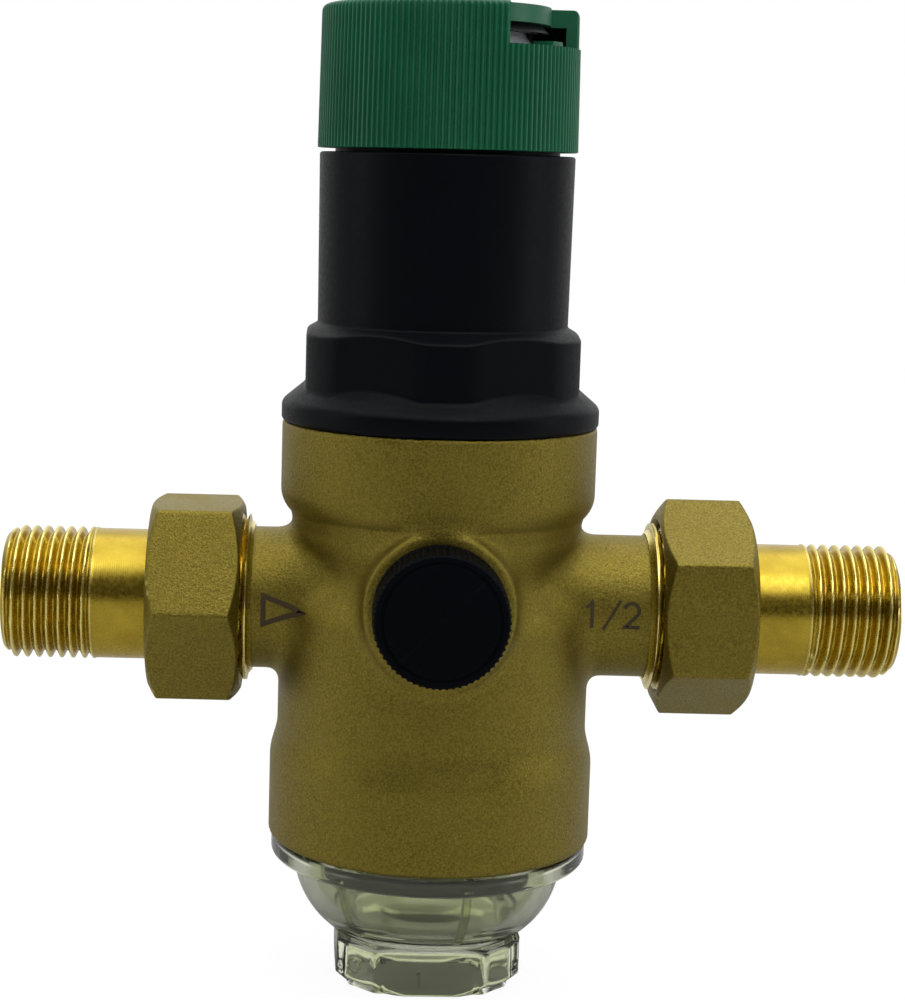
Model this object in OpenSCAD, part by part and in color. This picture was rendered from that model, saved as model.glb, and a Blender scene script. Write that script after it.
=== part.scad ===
// Pressure reducing valve for water, DN15, with unions, filter bowl and
// spring bonnet. Millimetres. +X is the direction of flow, +Z is up, the
// bowl's foot stands on Z = 0 and X = 0 is halfway between the pipe ends.

/* [Overall] */
// Length from pipe end to pipe end
overall_length = 140; // [130:1:170]
// Length of the body between its two port faces
body_length = 80; // [76:1:90]
// Distance of the bonnet's axis from the middle, towards the inlet
axis_shift = 2.2; // [0:0.1:4]

/* [Body casting] */
// Height of the waterway's axis above the body's bottom face
axis_rise = 37.7; // [37:0.1:42]
// Height of the body's top face above the waterway's axis
top_rise = 28.7; // [28:0.1:33]
// Radius of the band at the bottom of the body
band_r = 25.7; // [25.2:0.1:30]
// Height of that band
band_h = 12.6; // [8:0.1:14]
// Height of the shoulder between band and waist
shoulder_h = 6; // [3:0.1:7]
// Radius of the waist above the band
waist_r = 24.6; // [23.5:0.1:28]
// Height of the waist's upper edge below the waterway's axis
waist_drop = 2.2; // [1:0.1:6]
// Radius of the core between the ports
core_r = 22.6; // [22:0.1:24]
// Radius of the cylinder that carries the bonnet
head_r = 24.75; // [24.3:0.05:28]
// Straight height of that cylinder
head_h = 10.7; // [6:0.1:12]
// Radius of the round under that cylinder
head_round = 4.8; // [3:0.1:5]
// Outer radius of the port tubes
port_r = 11.2; // [10.6:0.05:12.5]
// Fillet where a port tube leaves the core
port_fillet = 2; // [1:0.1:3]
// Distance past the core's surface at which that fillet ends
port_straight = 0.8; // [0.4:0.1:2]
// Outer radius of the union thread on a port
union_thread_r = 13.2; // [13:0.05:14.2]
// Length of the threaded collar on a port
collar_len = 8.8; // [8.4:0.1:12]
// Chamfer where a thread starts
thread_lead = 0.8; // [0.4:0.1:1.2]

/* [Gauge ports] */
// Radius of a gauge boss
boss_r = 11.6; // [10.8:0.1:13]
// Distance of a boss face from the bonnet's axis, front and back
boss_face = 24.9; // [24.7:0.1:29]
// Fillet where a boss leaves the core
boss_fillet = 2; // [1:0.1:3]
// Round of a boss's edge
boss_round = 0.9; // [0.3:0.1:1.5]
// Height of the gauge ports above the waterway's axis
gauge_rise = 3.2; // [0:0.1:4]
// Distance of the gauge ports from the bonnet's axis, towards the outlet
gauge_shift = 0; // [0:0.1:3]
// Outer radius of a gauge plug's thread
gauge_thread_r = 6.58; // [6:0.01:7]
// Depth of a tapped gauge port
gauge_depth = 9; // [8.5:0.1:9.5]
// Radius of the drilled hole behind a gauge port
gauge_drill_r = 2; // [1:0.1:3]

/* [Waterway] */
// Radius of the waterway
bore_r = 7.5; // [6:0.1:8]
// Depth of the filter chamber's roof below the waterway's axis
roof_drop = 14.5; // [14:0.1:15]
// Depth of the valve insert's lower end below that axis
seat_drop = 10.5; // [10:0.1:11]
// Height of the ledge that carries the insert above that axis
guide_rise = 11.5; // [11:0.1:12]
// Outer radius of a tailpiece's pipe thread
pipe_thread_r = 10.4775; // [10.2:0.0005:11]
// Length of a tailpiece's pipe thread
pipe_thread_len = 13.6; // [10:0.1:16]
// Radius of a tailpiece between its thread and its collar
barrel_r = 10.3; // [9.6:0.05:10.4]
// Radius of a tailpiece's collar
tail_collar_r = 12; // [11.4:0.1:12.2]
// Thickness of a tailpiece's collar
tail_collar_t = 3.6; // [2.5:0.1:5]
// Thickness of a union washer
washer_t = 1.5; // [1:0.1:3]

/* [Union nuts] */
// Width of a union nut across its flats
nut_af = 30; // [29.4:0.1:34]
// Length of a union nut
nut_len = 14.4; // [12:0.1:16]
// Thickness of the lip that pulls on a tailpiece's collar
nut_lip = 2; // [1.2:0.1:3]
// Turn of the inlet nut about its axis
inlet_nut_turn = -1; // [-30:1:30]
// Turn of the outlet nut about its axis
outlet_nut_turn = -27; // [-30:1:30]

/* [Spring bonnet] */
// Height of the bonnet's flange edge
flange_edge_h = 3; // [2:0.1:4]
// Radius of the bonnet's flange
flange_r = 24.9; // [24.7:0.1:28]
// Slope of the flange's upper side, in degrees
flange_slope = 40; // [30:1:50]
// Height of the wrench section above the body
wrench_h = 15.4; // [13:0.1:18]
// Width across the flats of the wrench section
wrench_af = 42.3; // [41.6:0.1:43.4]
// Radius over the rounded corners of the wrench section
wrench_r = 22.5; // [22.2:0.1:23.4]
// Slope of the chamfer above the wrench section, in degrees
wrench_slope = 30; // [20:1:40]
// Radius of the tower's foot
tower_r = 19.55; // [19.2:0.05:20.4]
// Radius of the tower's upper end
tower_top_r = 19.8; // [19.2:0.05:20.4]
// Height of the tower's upper edge above the body
tower_h = 41.7; // [40:0.1:50]
// Radius of the bonnet's bore
tower_bore_r = 16.5; // [15.9:0.1:16.8]
// Thickness of the bonnet's top wall
tower_roof = 4.5; // [3:0.1:6]
// Height of the collar that the knob turns on
neck_h = 3.1; // [2:0.1:5]

/* [Knob] */
// Height of the knob
knob_h = 21.8; // [20.5:0.1:26]
// Radius over the knob's ribs at its lower edge
knob_r = 20.15; // [20:0.05:22]
// Radius over the ribs at its upper edge
knob_top_r = 19.9; // [19.6:0.05:22]
// Number of ribs round the knob
knob_ribs = 135; // [60:1:160]
// Depth of the grooves between the ribs
rib_depth = 0.4; // [0.2:0.05:0.6]
// Thickness of the knob's wall
knob_wall = 1.9; // [1.5:0.1:2.2]
// Thickness of the knob's top plate
plate_t = 2.7; // [1.5:0.1:3.2]
// Gap between the knob and the bonnet
knob_gap = 0.6; // [0.4:0.05:1.5]
// Depth of the window cut into the knob
window_depth = 6.2; // [5:0.1:7]
// Where the window starts, in degrees round from the front
window_from = 24; // [10:1:40]
// Where the window ends, in degrees round from the front
window_to = 93; // [60:1:120]
// Radius that the window leaves on the top plate
window_plate_r = 15.3; // [14.4:0.1:16]
// Radius of the dial at its upper edge
dial_r = 12.4; // [11:0.1:13]
// Height of the dial
dial_h = 2.4; // [1.6:0.1:2.4]

/* [Adjuster] */
// Radius of the spindle's journal
journal_r = 5; // [4.5:0.05:6]
// Radius of the spindle's thread
spindle_thread_r = 4; // [3:0.1:4.4]
// Radius of the spindle's thrust collar
thrust_r = 8; // [6.5:0.1:10]
// Thickness of the thrust collar
thrust_t = 3; // [2:0.1:4]
// Radius of the locking screw's head
screw_head_r = 3.8; // [3:0.1:4.4]
// Travel of the spring nut each way from its middle
nut_travel = 4; // [2:0.1:4]

/* [Spring] */
// Wire diameter of the adjustment spring
spring_wire = 3; // [2:0.1:3.4]
// Outer radius of the adjustment spring
spring_r = 12.6; // [11.6:0.1:13]
// Number of turns of the adjustment spring
spring_turns = 5.5; // [4:0.5:6]

/* [Diaphragm and valve] */
// Thickness of the diaphragm's clamped rim
rim_t = 2; // [1.5:0.1:3]
// Width of the ledge that clamps the diaphragm's rim
rim_w = 4.8; // [3:0.1:5]
// Thickness of the slip ring
slip_t = 0.8; // [0.5:0.1:1.5]
// Depth of the bonnet's threaded spigot in the body
spigot_h = 4.4; // [3:0.1:6]
// Lift of the valve from open to closed
valve_lift = 2.5; // [1.5:0.1:3]
// Radius of the valve stem
stem_r = 3; // [2.5:0.1:3.5]
// Radius of the opening in the valve seat
seat_r = 6; // [5:0.1:6.6]
// Outer radius of the valve insert
insert_r = 10.9; // [10.4:0.1:11.2]
// Number of windows round the insert
insert_windows = 4; // [3:1:6]

/* [Filter and bowl] */
// Height of the bowl's wrench foot
foot_h = 8; // [6:0.1:10]
// Width of the foot across its flats
foot_af = 29; // [27:0.1:31]
// Width of the foot's wide flats
foot_flat = 18.2; // [15:0.1:20]
// Turn of the foot about the bowl's axis
foot_turn = 2; // [-10:1:10]
// Height of the bowl between foot and flange
bowl_h = 11.5; // [10.5:0.1:16]
// Radius of the bowl under its flange
bowl_r = 21.5; // [21.2:0.1:22.5]
// Radius of the bowl's round
bowl_round = 14; // [11:0.1:16]
// Radius of the bowl's flange
bowl_flange_r = 25.2; // [24.6:0.1:27]
// Thickness of the bowl's flange
bowl_flange_t = 3.3; // [2:0.1:5]
// Length of the bowl's threaded collar
bowl_collar = 9.8; // [8:0.1:11]
// Wall of the bowl
bowl_wall = 2.4; // [1.5:0.1:2.6]
// Radius of the filter over its ribs
filter_r = 16.5; // [15.4:0.1:17]
// Number of ribs on the filter basket
filter_ribs = 6; // [4:1:10]
// Radius of the filter's neck
filter_neck_r = 13.9; // [13:0.1:14.2]

/* [Seals] */
// Section of the bowl's O-ring
bowl_ring_d = 2; // [1.5:0.1:2.4]
// Section of the insert's O-ring
insert_ring_d = 1.9; // [1.4:0.1:2]
// Section of a gauge plug's O-ring
plug_ring_d = 1.8; // [1.2:0.1:2]

/* [Gauge plugs] */
// Radius of a plug's head over its serrations
plug_r = 10.3; // [10:0.1:11.5]
// Thickness of a plug's head
plug_head = 8.6; // [6:0.1:10]
// Length of a plug's thread
plug_thread_len = 7.6; // [5:0.1:8]
// Number of serrations on a plug's head
plug_teeth = 64; // [40:1:80]

/* [Clearances] */
// Radial clearance of a plain thread in its nut
thread_gap = 0.08; // [0.04:0.01:0.1]
// Radial clearance of a guide or a journal
guide_gap = 0.05; // [0.02:0.01:0.1]
// Gap between a loose piece and its seat
seat_gap = 0.05; // [0.02:0.01:0.2]
// Gap round a piece that moves without touching
free_gap = 0.3; // [0.2:0.05:0.5]

/* [Hidden] */

// faces of a full turn where a round form is only seen
fine = 96;

// levels up the vertical axis
flange_z = foot_h + bowl_h;
body_z = flange_z + bowl_flange_t;
axis_z = body_z + axis_rise;
head_z = axis_z + top_rise;
gauge_z = axis_z + gauge_rise;

// bowl, its collar and what the collar screws into
collar_r = bowl_r;
collar_bore_r = collar_r + thread_gap;
collar_z = body_z + bowl_collar;
collar_bore_z = collar_z + free_gap;
collar_inner_r = collar_r - bowl_wall;
chamber_r = collar_inner_r - free_gap;
bowl_ring_drop = 2.6;
bowl_ring_z = collar_z - bowl_ring_drop;
bowl_ring_r = collar_r - bowl_ring_d / 2;
bowl_floor = 2.4;
foot_wall = 2.2;
bowl_rib_t = 1.2;
bowl_ribs = 6;

// filter chamber, its roof and the valve insert in it
roof_z = axis_z - roof_drop;
neck_bore_r = filter_neck_r + guide_gap;
insert_z = axis_z - seat_drop;
insert_bore_r = insert_r + guide_gap;
insert_ledge_z = axis_z + guide_rise;
insert_flange_t = 2;
insert_flange_r = insert_r + 3.4;
insert_top_z = insert_ledge_z + insert_flange_t;
insert_wall = 1.5;
insert_guide_h = 4;
seat_ring_h = 4.5;
seat_lip = 0.8;
seat_lip_z = insert_z - seat_lip;
insert_ring_z = insert_z + 2.3;
insert_ring_r = insert_r - insert_ring_d / 2;
cap_t = 2.5;
basket_wall = 1.5;
neck_wall = 2.4;
filter_low_z = flange_z - 2;
filter_top_z = roof_z - 4;
filter_neck_inner = filter_neck_r - neck_wall;
slot_r = filter_neck_r + 1.7;
slot_w = 3.6;
slot_angle = 120;
slot_top = 5.5;

// diaphragm clamp, from the top of the body down
spigot_z = head_z - spigot_h;
rim_top_z = spigot_z - slip_t;
ledge_z = rim_top_z - rim_t;
head_wall = 2.75;
spigot_r = head_r - head_wall;
spigot_bore_r = spigot_r + thread_gap;
rim_r = spigot_r - free_gap;
rim_inner_r = spigot_r - rim_w;
web_t = 1.6;
web_z = ledge_z - valve_lift / 2;
plate_r = rim_inner_r - 4.2;
disc_t = 2;
cup_t = 2.2;

// valve trim
valve_disc_r = seat_r + 1.6;
valve_disc_t = 2;
valve_disc_top = seat_lip_z - valve_lift - seat_gap;
holder_t = 2.5;
holder_z = valve_disc_top - valve_disc_t - holder_t;
small_nut_af = 10;
small_nut_h = 3;
stem_end = 0.8;
stem_z = holder_z - small_nut_h - stem_end;
cup_z = web_z + web_t;
cup_floor_z = cup_z + cup_t;
top_nut_h = 4;
stem_top_z = cup_floor_z + top_nut_h + stem_end;

// bonnet levels
wrench_z = head_z + flange_edge_h;
tower_z = head_z + wrench_h;
tower_top_z = head_z + tower_h;
neck_z = tower_top_z + neck_h;
roof_in_z = neck_z - tower_roof;
neck_r = tower_r - 2.15;
groove_r = 18.1;
groove_w = 4.4;
spigot_inner_r = spigot_r - rim_w + 0.2;

// adjuster levels
thrust_z = roof_in_z - thrust_t;
nut_disc_t = 5;
nut_hub_h = 4;
nut_hub_r = 6.5;
nut_pilot_h = 2.5;
nut_top_z = thrust_z - nut_travel - free_gap;
nut_disc_z = nut_top_z - nut_hub_h - nut_disc_t;
spring_z = cup_floor_z;
spring_h = nut_disc_z - cup_floor_z;
// thread left below the nut at the top of its travel
thread_left = 2;
spindle_low_z = nut_disc_z - nut_pilot_h - nut_travel + thread_left;
ring_t = 1.1;
ring_z = neck_z + seat_gap;
spindle_head_r = journal_r - 0.5;

// knob levels
knob_z = tower_top_z + knob_gap;
knob_top_z = knob_z + knob_h;
plate_z = knob_top_z - plate_t;
window_z = knob_top_z - window_depth;
knob_inner_r = knob_r - rib_depth - knob_wall;
hub_cap_t = 1.3;
dial_top_z = plate_z - hub_cap_t;
dial_z = dial_top_z - dial_h;
dial_flare = 1.4;
lens_t = 1;
hub_web_t = 2;
hub_core_r = 8.4;
hub_low_z = ring_z + ring_t + 0.6;
hub_top_r = window_plate_r - 1.2;
head_end_z = dial_z + 0.5;
screw_hole_r = 2;
screw_len = 8;
tab_w = 3;
tab_at = 72;
plate_hole_r = screw_head_r + 0.6;

// unions, measured along the pipe from the middle of the length
port_end = body_length / 2;
tail_face = port_end + washer_t;
lip_x = tail_face + tail_collar_t;
nut_out = lip_x + nut_lip;
nut_in = nut_out - nut_len;
tail_end = overall_length / 2;
pipe_thread_x = tail_end - pipe_thread_len;
nut_bore_r = union_thread_r + thread_gap;
nut_lead = 0.7;
nut_relief_r = tail_collar_r + free_gap;
nut_hole_r = barrel_r + free_gap;

// gauge plugs, measured from the bonnet's axis
plug_ring_r = gauge_thread_r + plug_ring_d / 2 + free_gap;
plug_low = boss_face + seat_gap;
plug_rim_t = 1.2;
plug_round = 0.8;
serration = 0.45;

brass = [0.72, 0.58, 0.24];
bright_brass = [0.86, 0.68, 0.26];
black = [0.06, 0.07, 0.09];
green = [0.07, 0.30, 0.17];
steel = [0.70, 0.71, 0.72];
rubber = [0.12, 0.12, 0.12];
clear = [0.78, 0.84, 0.74, 0.5];
white = [0.90, 0.91, 0.90];
grey = [0.35, 0.36, 0.36];

// ---- shared forms ----

// moves what is centred on the bonnet's axis to its place
module on_axis() { translate([-axis_shift, 0, 0]) children(); }

// points of an arc about [cr, cz]
function arc(cr, cz, r, from, to, steps = 8) =
    [for (i = [0:steps]) let (a = from + (to - from) * i / steps) [cr + r * cos(a), cz + r * sin(a)]];

// points of a smooth step from one radius to another
function ease(r0, z0, r1, z1, steps = 8) =
    [for (i = [0:steps]) let (t = i / steps) [r0 + (r1 - r0) * (1 - cos(180 * t)) / 2, z0 + (z1 - z0) * t]];

// tube between two levels
module tube(outer, inner, low, high) {
    translate([0, 0, low]) difference() {
        cylinder(r = outer, h = high - low, $fn = fine);
        translate([0, 0, -1]) cylinder(r = inner, h = high - low + 2, $fn = fine);
    }
}

// plain disc between two levels
module disc(r, low, high) { translate([0, 0, low]) cylinder(r = r, h = high - low, $fn = fine); }

// O-ring about the vertical axis
module oring(mean_r, d, z) {
    translate([0, 0, z]) rotate_extrude($fn = fine) translate([mean_r, 0]) circle(r = d / 2, $fn = 32);
}

// hexagon prism with turned chamfers at both ends
module hex_block(af, h, chamfer) {
    corner = af / sqrt(3);
    intersection() {
        cylinder(r = corner, h = h, $fn = 6);
        rotate_extrude($fn = fine)
            polygon([[0, 0], [corner - chamfer * 1.8, 0], [corner + 0.02, chamfer * 1.02],
                [corner + 0.02, h - chamfer * 1.02], [corner - chamfer * 1.8, h], [0, h]]);
    }
}

// small hexagon nut on the valve stem
module stem_nut(low) {
    translate([0, 0, low]) difference() {
        hex_block(small_nut_af, small_nut_h, 0.4);
        translate([0, 0, -1]) cylinder(r = stem_r + seat_gap, h = small_nut_h + 2, $fn = fine);
    }
}

// ---- body casting ----

module body_outline() {
    round_z = head_z - head_h;
    under_r = head_r - head_round * (1 - cos(48));
    polygon(concat(
        [[0, body_z], [band_r - 0.5, body_z], [band_r, body_z + 0.5]],
        ease(band_r, body_z + band_h, waist_r, body_z + band_h + shoulder_h),
        ease(waist_r, axis_z - waist_drop - 3, core_r, axis_z - waist_drop + 1),
        ease(core_r, round_z - head_round, under_r, round_z - head_round * sin(48), 4),
        arc(head_r - head_round, round_z, head_round, -44, 0),
        [[head_r, head_z - 0.3], [head_r - 0.3, head_z], [0, head_z]]));
}

// port tube and its threaded collar, side -1 inlet, +1 outlet
module port(side) {
    reach = port_end + side * axis_shift;
    root = core_r + port_straight;
    collar = reach - collar_len;
    step = union_thread_r - port_r;
    on_axis() translate([0, 0, axis_z]) rotate([0, side * 90, 0]) rotate_extrude($fn = fine)
        polygon(concat(
            [[0, insert_r], [port_r + port_fillet, insert_r]],
            arc(port_r + port_fillet, root, port_fillet, 270, 180, 6),
            [[port_r, collar], [union_thread_r, collar + step * 0.6],
            [union_thread_r, reach - thread_lead], [union_thread_r - thread_lead, reach], [0, reach]]));
}

// round boss that carries a gauge plug, side -1 front, +1 back
module gauge_boss(side) {
    on_axis() translate([gauge_shift, 0, gauge_z]) rotate([-side * 90, 0, 0]) rotate_extrude($fn = fine)
        polygon(concat(
            [[0, insert_r], [boss_r + boss_fillet, insert_r]],
            arc(boss_r + boss_fillet, core_r - boss_fillet, boss_fillet, 270, 180, 6),
            arc(boss_r - boss_round, boss_face - boss_round, boss_round, 0, 90, 6), [[0, boss_face]]));
}

// tapped gauge port, its drilling into the valve chamber and the recess for the ring
module gauge_port(side) {
    translate([gauge_shift, 0, gauge_z]) rotate([-side * 90, 0, 0]) {
        cylinder(r = gauge_drill_r, h = boss_face, $fn = 32);
        translate([0, 0, boss_face - gauge_depth])
            cylinder(r = gauge_thread_r + thread_gap, h = gauge_depth + 1, $fn = fine);
    }
}

// channel that takes the inlet's water down past the insert into the filter chamber
module inlet_channel() {
    translate([0, 0, roof_z - 0.5]) rotate([0, 0, 180 - slot_angle / 2])
        rotate_extrude(angle = slot_angle, $fn = fine)
            translate([slot_r, 0]) square([slot_w, axis_z - roof_z + slot_top + 0.5]);
}

module body_cavities() {
    disc(collar_bore_r, body_z - 1, collar_bore_z);
    disc(chamber_r, body_z, roof_z);
    disc(neck_bore_r, roof_z - 1, insert_z);
    disc(insert_bore_r, insert_z - 1, insert_top_z);
    disc(insert_flange_r + guide_gap, insert_ledge_z, ledge_z);
    disc(rim_inner_r - 0.3, insert_top_z + seat_gap, ledge_z + 1);
    disc(spigot_bore_r, ledge_z, head_z + 1);
    inlet_channel();
    translate([0, 0, axis_z]) rotate([0, -90, 0])
        translate([0, 0, slot_r + 0.4]) cylinder(r = bore_r, h = port_end, $fn = fine);
    translate([0, 0, axis_z]) rotate([0, 90, 0])
        translate([0, 0, insert_r - 4]) cylinder(r = bore_r, h = port_end + axis_shift, $fn = fine);
    for (side = [-1, 1]) gauge_port(side);
}

module body() {
    color(brass) difference() {
        union() {
            on_axis() rotate_extrude($fn = fine) body_outline();
            for (side = [-1, 1]) port(side);
            for (side = [-1, 1]) gauge_boss(side);
        }
        on_axis() body_cavities();
    }
}

// ---- spring bonnet ----

module bonnet_shell() {
    // the hexagon's corners are rounded by the turned outline that cuts it
    slope_z = wrench_z + (flange_r - wrench_r) * tan(flange_slope);
    top_cut = wrench_r - tower_r;
    intersection() {
        union() {
            disc(flange_r, head_z, slope_z + 0.2);
            translate([0, 0, head_z]) rotate([0, 0, 30])
                cylinder(r = wrench_af / sqrt(3), h = wrench_h + 2, $fn = 6);
            disc(tower_top_r + 1, tower_z, tower_top_z);
        }
        rotate_extrude($fn = fine)
            polygon([[0, head_z], [flange_r - 0.4, head_z], [flange_r, head_z + 0.4], [flange_r, wrench_z],
                [wrench_r, slope_z], [wrench_r, tower_z - top_cut * tan(wrench_slope)],
                [tower_r, tower_z], [tower_top_r, tower_top_z], [0, tower_top_z]]);
    }
    // cone between the flange and the flats
    flat_r = wrench_af / 2;
    rotate_extrude($fn = fine)
        polygon([[0, wrench_z], [flange_r, wrench_z],
            [flat_r, wrench_z + (flange_r - flat_r) * tan(flange_slope)],
            [0, wrench_z + (flange_r - flat_r) * tan(flange_slope)]]);
    // cone above the flats
    rotate_extrude($fn = fine)
        polygon([[0, tower_z - 3], [flat_r - 0.05, tower_z - (flat_r - tower_r) * tan(wrench_slope)],
            [tower_r, tower_z], [0, tower_z]]);
    disc(neck_r, tower_top_z - 1, neck_z);
    disc(spigot_r, spigot_z, head_z + 1);
}

module bonnet() {
    color(black) on_axis() difference() {
        bonnet_shell();
        disc(spigot_inner_r, spigot_z - 1, wrench_z);
        translate([0, 0, wrench_z]) cylinder(r1 = spigot_inner_r, r2 = tower_bore_r, h = 1, $fn = fine);
        disc(tower_bore_r, wrench_z, roof_in_z);
        for (turn = [0, 180]) rotate([0, 0, turn])
            translate([0, -groove_w / 2, tower_z]) cube([groove_r, groove_w, roof_in_z - tower_z]);
        disc(journal_r + guide_gap, roof_in_z - 1, neck_z + 1);
    }
}

module slip_ring() { color(steel) on_axis() tube(rim_r, rim_inner_r, rim_top_z, spigot_z); }

// ---- diaphragm and valve trim ----

module diaphragm() {
    color(rubber) on_axis() rotate_extrude($fn = fine)
        polygon([[stem_r + seat_gap, web_z], [plate_r + 0.4, web_z], [rim_inner_r - 0.7, ledge_z],
            [rim_r, ledge_z], [rim_r, rim_top_z], [rim_inner_r, rim_top_z],
            [plate_r + 1.1, web_z + web_t], [stem_r + seat_gap, web_z + web_t]]);
}

module diaphragm_plate() {
    color(bright_brass) on_axis() difference() {
        union() {
            disc(plate_r, web_z - disc_t, web_z);
            disc(plate_r / 2, web_z - disc_t - 1, web_z);
        }
        disc(stem_r + seat_gap, web_z - disc_t - 3, web_z + 1);
    }
}

module spring_cup() {
    color(steel) on_axis() difference() {
        disc(spring_r + 1.2, cup_z, cup_floor_z + 1.5);
        tube(spring_r + free_gap, spring_r - spring_wire - free_gap, cup_floor_z, cup_floor_z + 3);
        disc(small_nut_af / sqrt(3) + 0.5, cup_floor_z, cup_floor_z + 3);
        disc(stem_r + seat_gap, cup_z - 1, cup_floor_z + 1);
    }
}

module stem_top_nut() { color(steel) on_axis() stem_nut(cup_floor_z); }

module valve_stem() {
    color(steel) on_axis() {
        disc(stem_r - 0.3, stem_z, stem_z + 0.3);
        disc(stem_r, stem_z + 0.3, stem_top_z - 0.5);
        translate([0, 0, stem_top_z - 0.5]) cylinder(r1 = stem_r, r2 = stem_r - 0.5, h = 0.5, $fn = fine);
    }
}

module valve_disc() {
    color(rubber) on_axis()
        tube(valve_disc_r, stem_r + seat_gap, valve_disc_top - valve_disc_t, valve_disc_top);
}

module disc_holder() {
    color(bright_brass) on_axis() difference() {
        disc(valve_disc_r + 0.9, holder_z, valve_disc_top - 0.6);
        disc(valve_disc_r + seat_gap, valve_disc_top - valve_disc_t, valve_disc_top);
        disc(stem_r + seat_gap, holder_z - 1, valve_disc_top);
    }
}

module stem_lower_nut() { color(steel) on_axis() stem_nut(holder_z - small_nut_h); }

// ---- valve insert ----

module valve_insert() {
    guide_z = insert_top_z - insert_guide_h;
    window_low = insert_z + seat_ring_h + 1;
    window_high = guide_z - 1.5;
    color(bright_brass) on_axis() difference() {
        union() {
            disc(insert_r, insert_z, insert_top_z);
            disc(insert_flange_r, insert_ledge_z + seat_gap, insert_top_z);
            tube(seat_r + 1.2, seat_r, seat_lip_z, insert_z + 1);
        }
        disc(seat_r, seat_lip_z - 1, insert_z + seat_ring_h);
        disc(insert_r - insert_wall, insert_z + seat_ring_h, guide_z);
        disc(stem_r + guide_gap, guide_z - 1, insert_top_z + 1);
        tube(insert_r + 1, insert_ring_r - insert_ring_d / 2 - seat_gap,
            insert_ring_z - insert_ring_d / 2 - 0.1, insert_ring_z + insert_ring_d / 2 + 0.1);
        for (i = [0:insert_windows - 1]) rotate([0, 0, i * 360 / insert_windows]) {
            translate([insert_r - insert_wall - 1, -insert_r / 2, window_low])
                cube([insert_wall + 2, insert_r, window_high - window_low]);
            rotate([0, 0, 180 / insert_windows]) translate([(stem_r + insert_r) / 2, 0, guide_z - 1])
                cylinder(r = 1.2, h = insert_guide_h + 2, $fn = 24);
        }
    }
}

module insert_oring() { color(rubber) on_axis() oring(insert_ring_r, insert_ring_d, insert_ring_z); }

// ---- adjuster ----

// wire of a spring wound about the vertical axis, with closed ends
module coil(mean_r, wire, height, turns, sides = 8, steps = 24) {
    count = round(turns * steps);
    rise = height - wire;
    closed = 0.9;
    // the first and last turns lie flat and the rest rise evenly
    function climb(t) = let (n = t * turns, free = turns - 2 * closed)
        n < closed ? 0.06 * n : n > turns - closed ? 1 - 0.06 * (turns - n)
        : 0.06 * closed + (1 - 0.12 * closed) * (n - closed) / free;
    points = [for (i = [0:count]) let (t = i / count, a = 360 * turns * t)
        for (s = [0:sides - 1]) let (b = 360 * s / sides, r = mean_r + wire / 2 * cos(b))
            [r * cos(a), r * sin(a), wire / 2 + rise * climb(t) + wire / 2 * sin(b)]];
    skin = [for (i = [0:count - 1]) for (s = [0:sides - 1])
        let (p = i * sides + s, q = i * sides + (s + 1) % sides) [p, q, q + sides, p + sides]];
    polyhedron(points, concat([[for (s = [0:sides - 1]) sides - 1 - s]], skin,
        [[for (s = [0:sides - 1]) count * sides + s]]));
}

module adjusting_spring() {
    color(steel) on_axis() translate([0, 0, spring_z])
        coil(spring_r - spring_wire / 2, spring_wire, spring_h, spring_turns);
}

module spring_nut() {
    guide_r = tower_bore_r - free_gap;
    color(bright_brass) on_axis() difference() {
        union() {
            disc(guide_r, nut_disc_z, nut_disc_z + nut_disc_t);
            disc(spring_r - spring_wire - 0.4, nut_disc_z - nut_pilot_h, nut_disc_z + 1);
            disc(nut_hub_r, nut_disc_z, nut_top_z);
            translate([-groove_r + free_gap, -groove_w / 2 + free_gap, nut_disc_z])
                cube([2 * (groove_r - free_gap), groove_w - 2 * free_gap, nut_disc_t]);
        }
        disc(spindle_thread_r + thread_gap, nut_disc_z - nut_pilot_h - 1, nut_top_z + 1);
    }
}

module spindle() {
    color(bright_brass) on_axis() difference() {
        union() {
            disc(spindle_thread_r, spindle_low_z, thrust_z + 1);
            disc(thrust_r, thrust_z, roof_in_z);
            disc(journal_r, thrust_z, ring_z);
            disc(spindle_head_r, ring_z - 1, head_end_z);
        }
        disc(screw_hole_r + seat_gap, head_end_z - screw_len, head_end_z + 1);
    }
}

module retaining_ring() {
    color(steel) on_axis() tube(journal_r + 2.4, spindle_head_r + seat_gap, ring_z, ring_z + ring_t);
}

// ---- knob ----

// outline with a rib and a groove for each step round
module ribbed_outline(r, depth, count) {
    polygon([for (i = [0:count - 1]) for (k = [0, 1, 2, 3])
        let (a = 360 / count * (i + [0, 0.2, 0.5, 0.7][k]), rr = k == 0 || k == 3 ? r - depth : r)
            [rr * sin(a), -rr * cos(a)]]);
}

// wedge between two directions measured round from the front towards the outlet
module wedge(from, to, inner, outer, low, high) {
    translate([0, 0, low]) rotate([0, 0, from - 90])
        rotate_extrude(angle = to - from, $fn = fine)
            translate([inner, 0]) square([outer - inner, high - low]);
}

module knob() {
    edge = 1;
    color(green) on_axis() {
        difference() {
            intersection() {
                translate([0, 0, knob_z]) linear_extrude(knob_h)
                    ribbed_outline(knob_r, rib_depth, knob_ribs);
                rotate_extrude($fn = fine)
                    polygon(concat([[0, knob_z], [knob_r, knob_z], [knob_top_r, knob_top_z - edge]],
                        arc(knob_top_r - edge, knob_top_z - edge, edge, 10, 90, 6), [[0, knob_top_z]]));
            }
            disc(knob_inner_r, knob_z - 1, plate_z);
            disc(plate_hole_r, plate_z - 1, knob_top_z + 1);
            wedge(window_from, window_to, window_plate_r, knob_r + 1, window_z, knob_top_z + 1);
        }
        // index tab inside the window
        wedge(tab_at - 6, tab_at + 6, knob_inner_r - tab_w, knob_inner_r + 0.5,
            window_z - 4, window_z + 0.8);
    }
}

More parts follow.
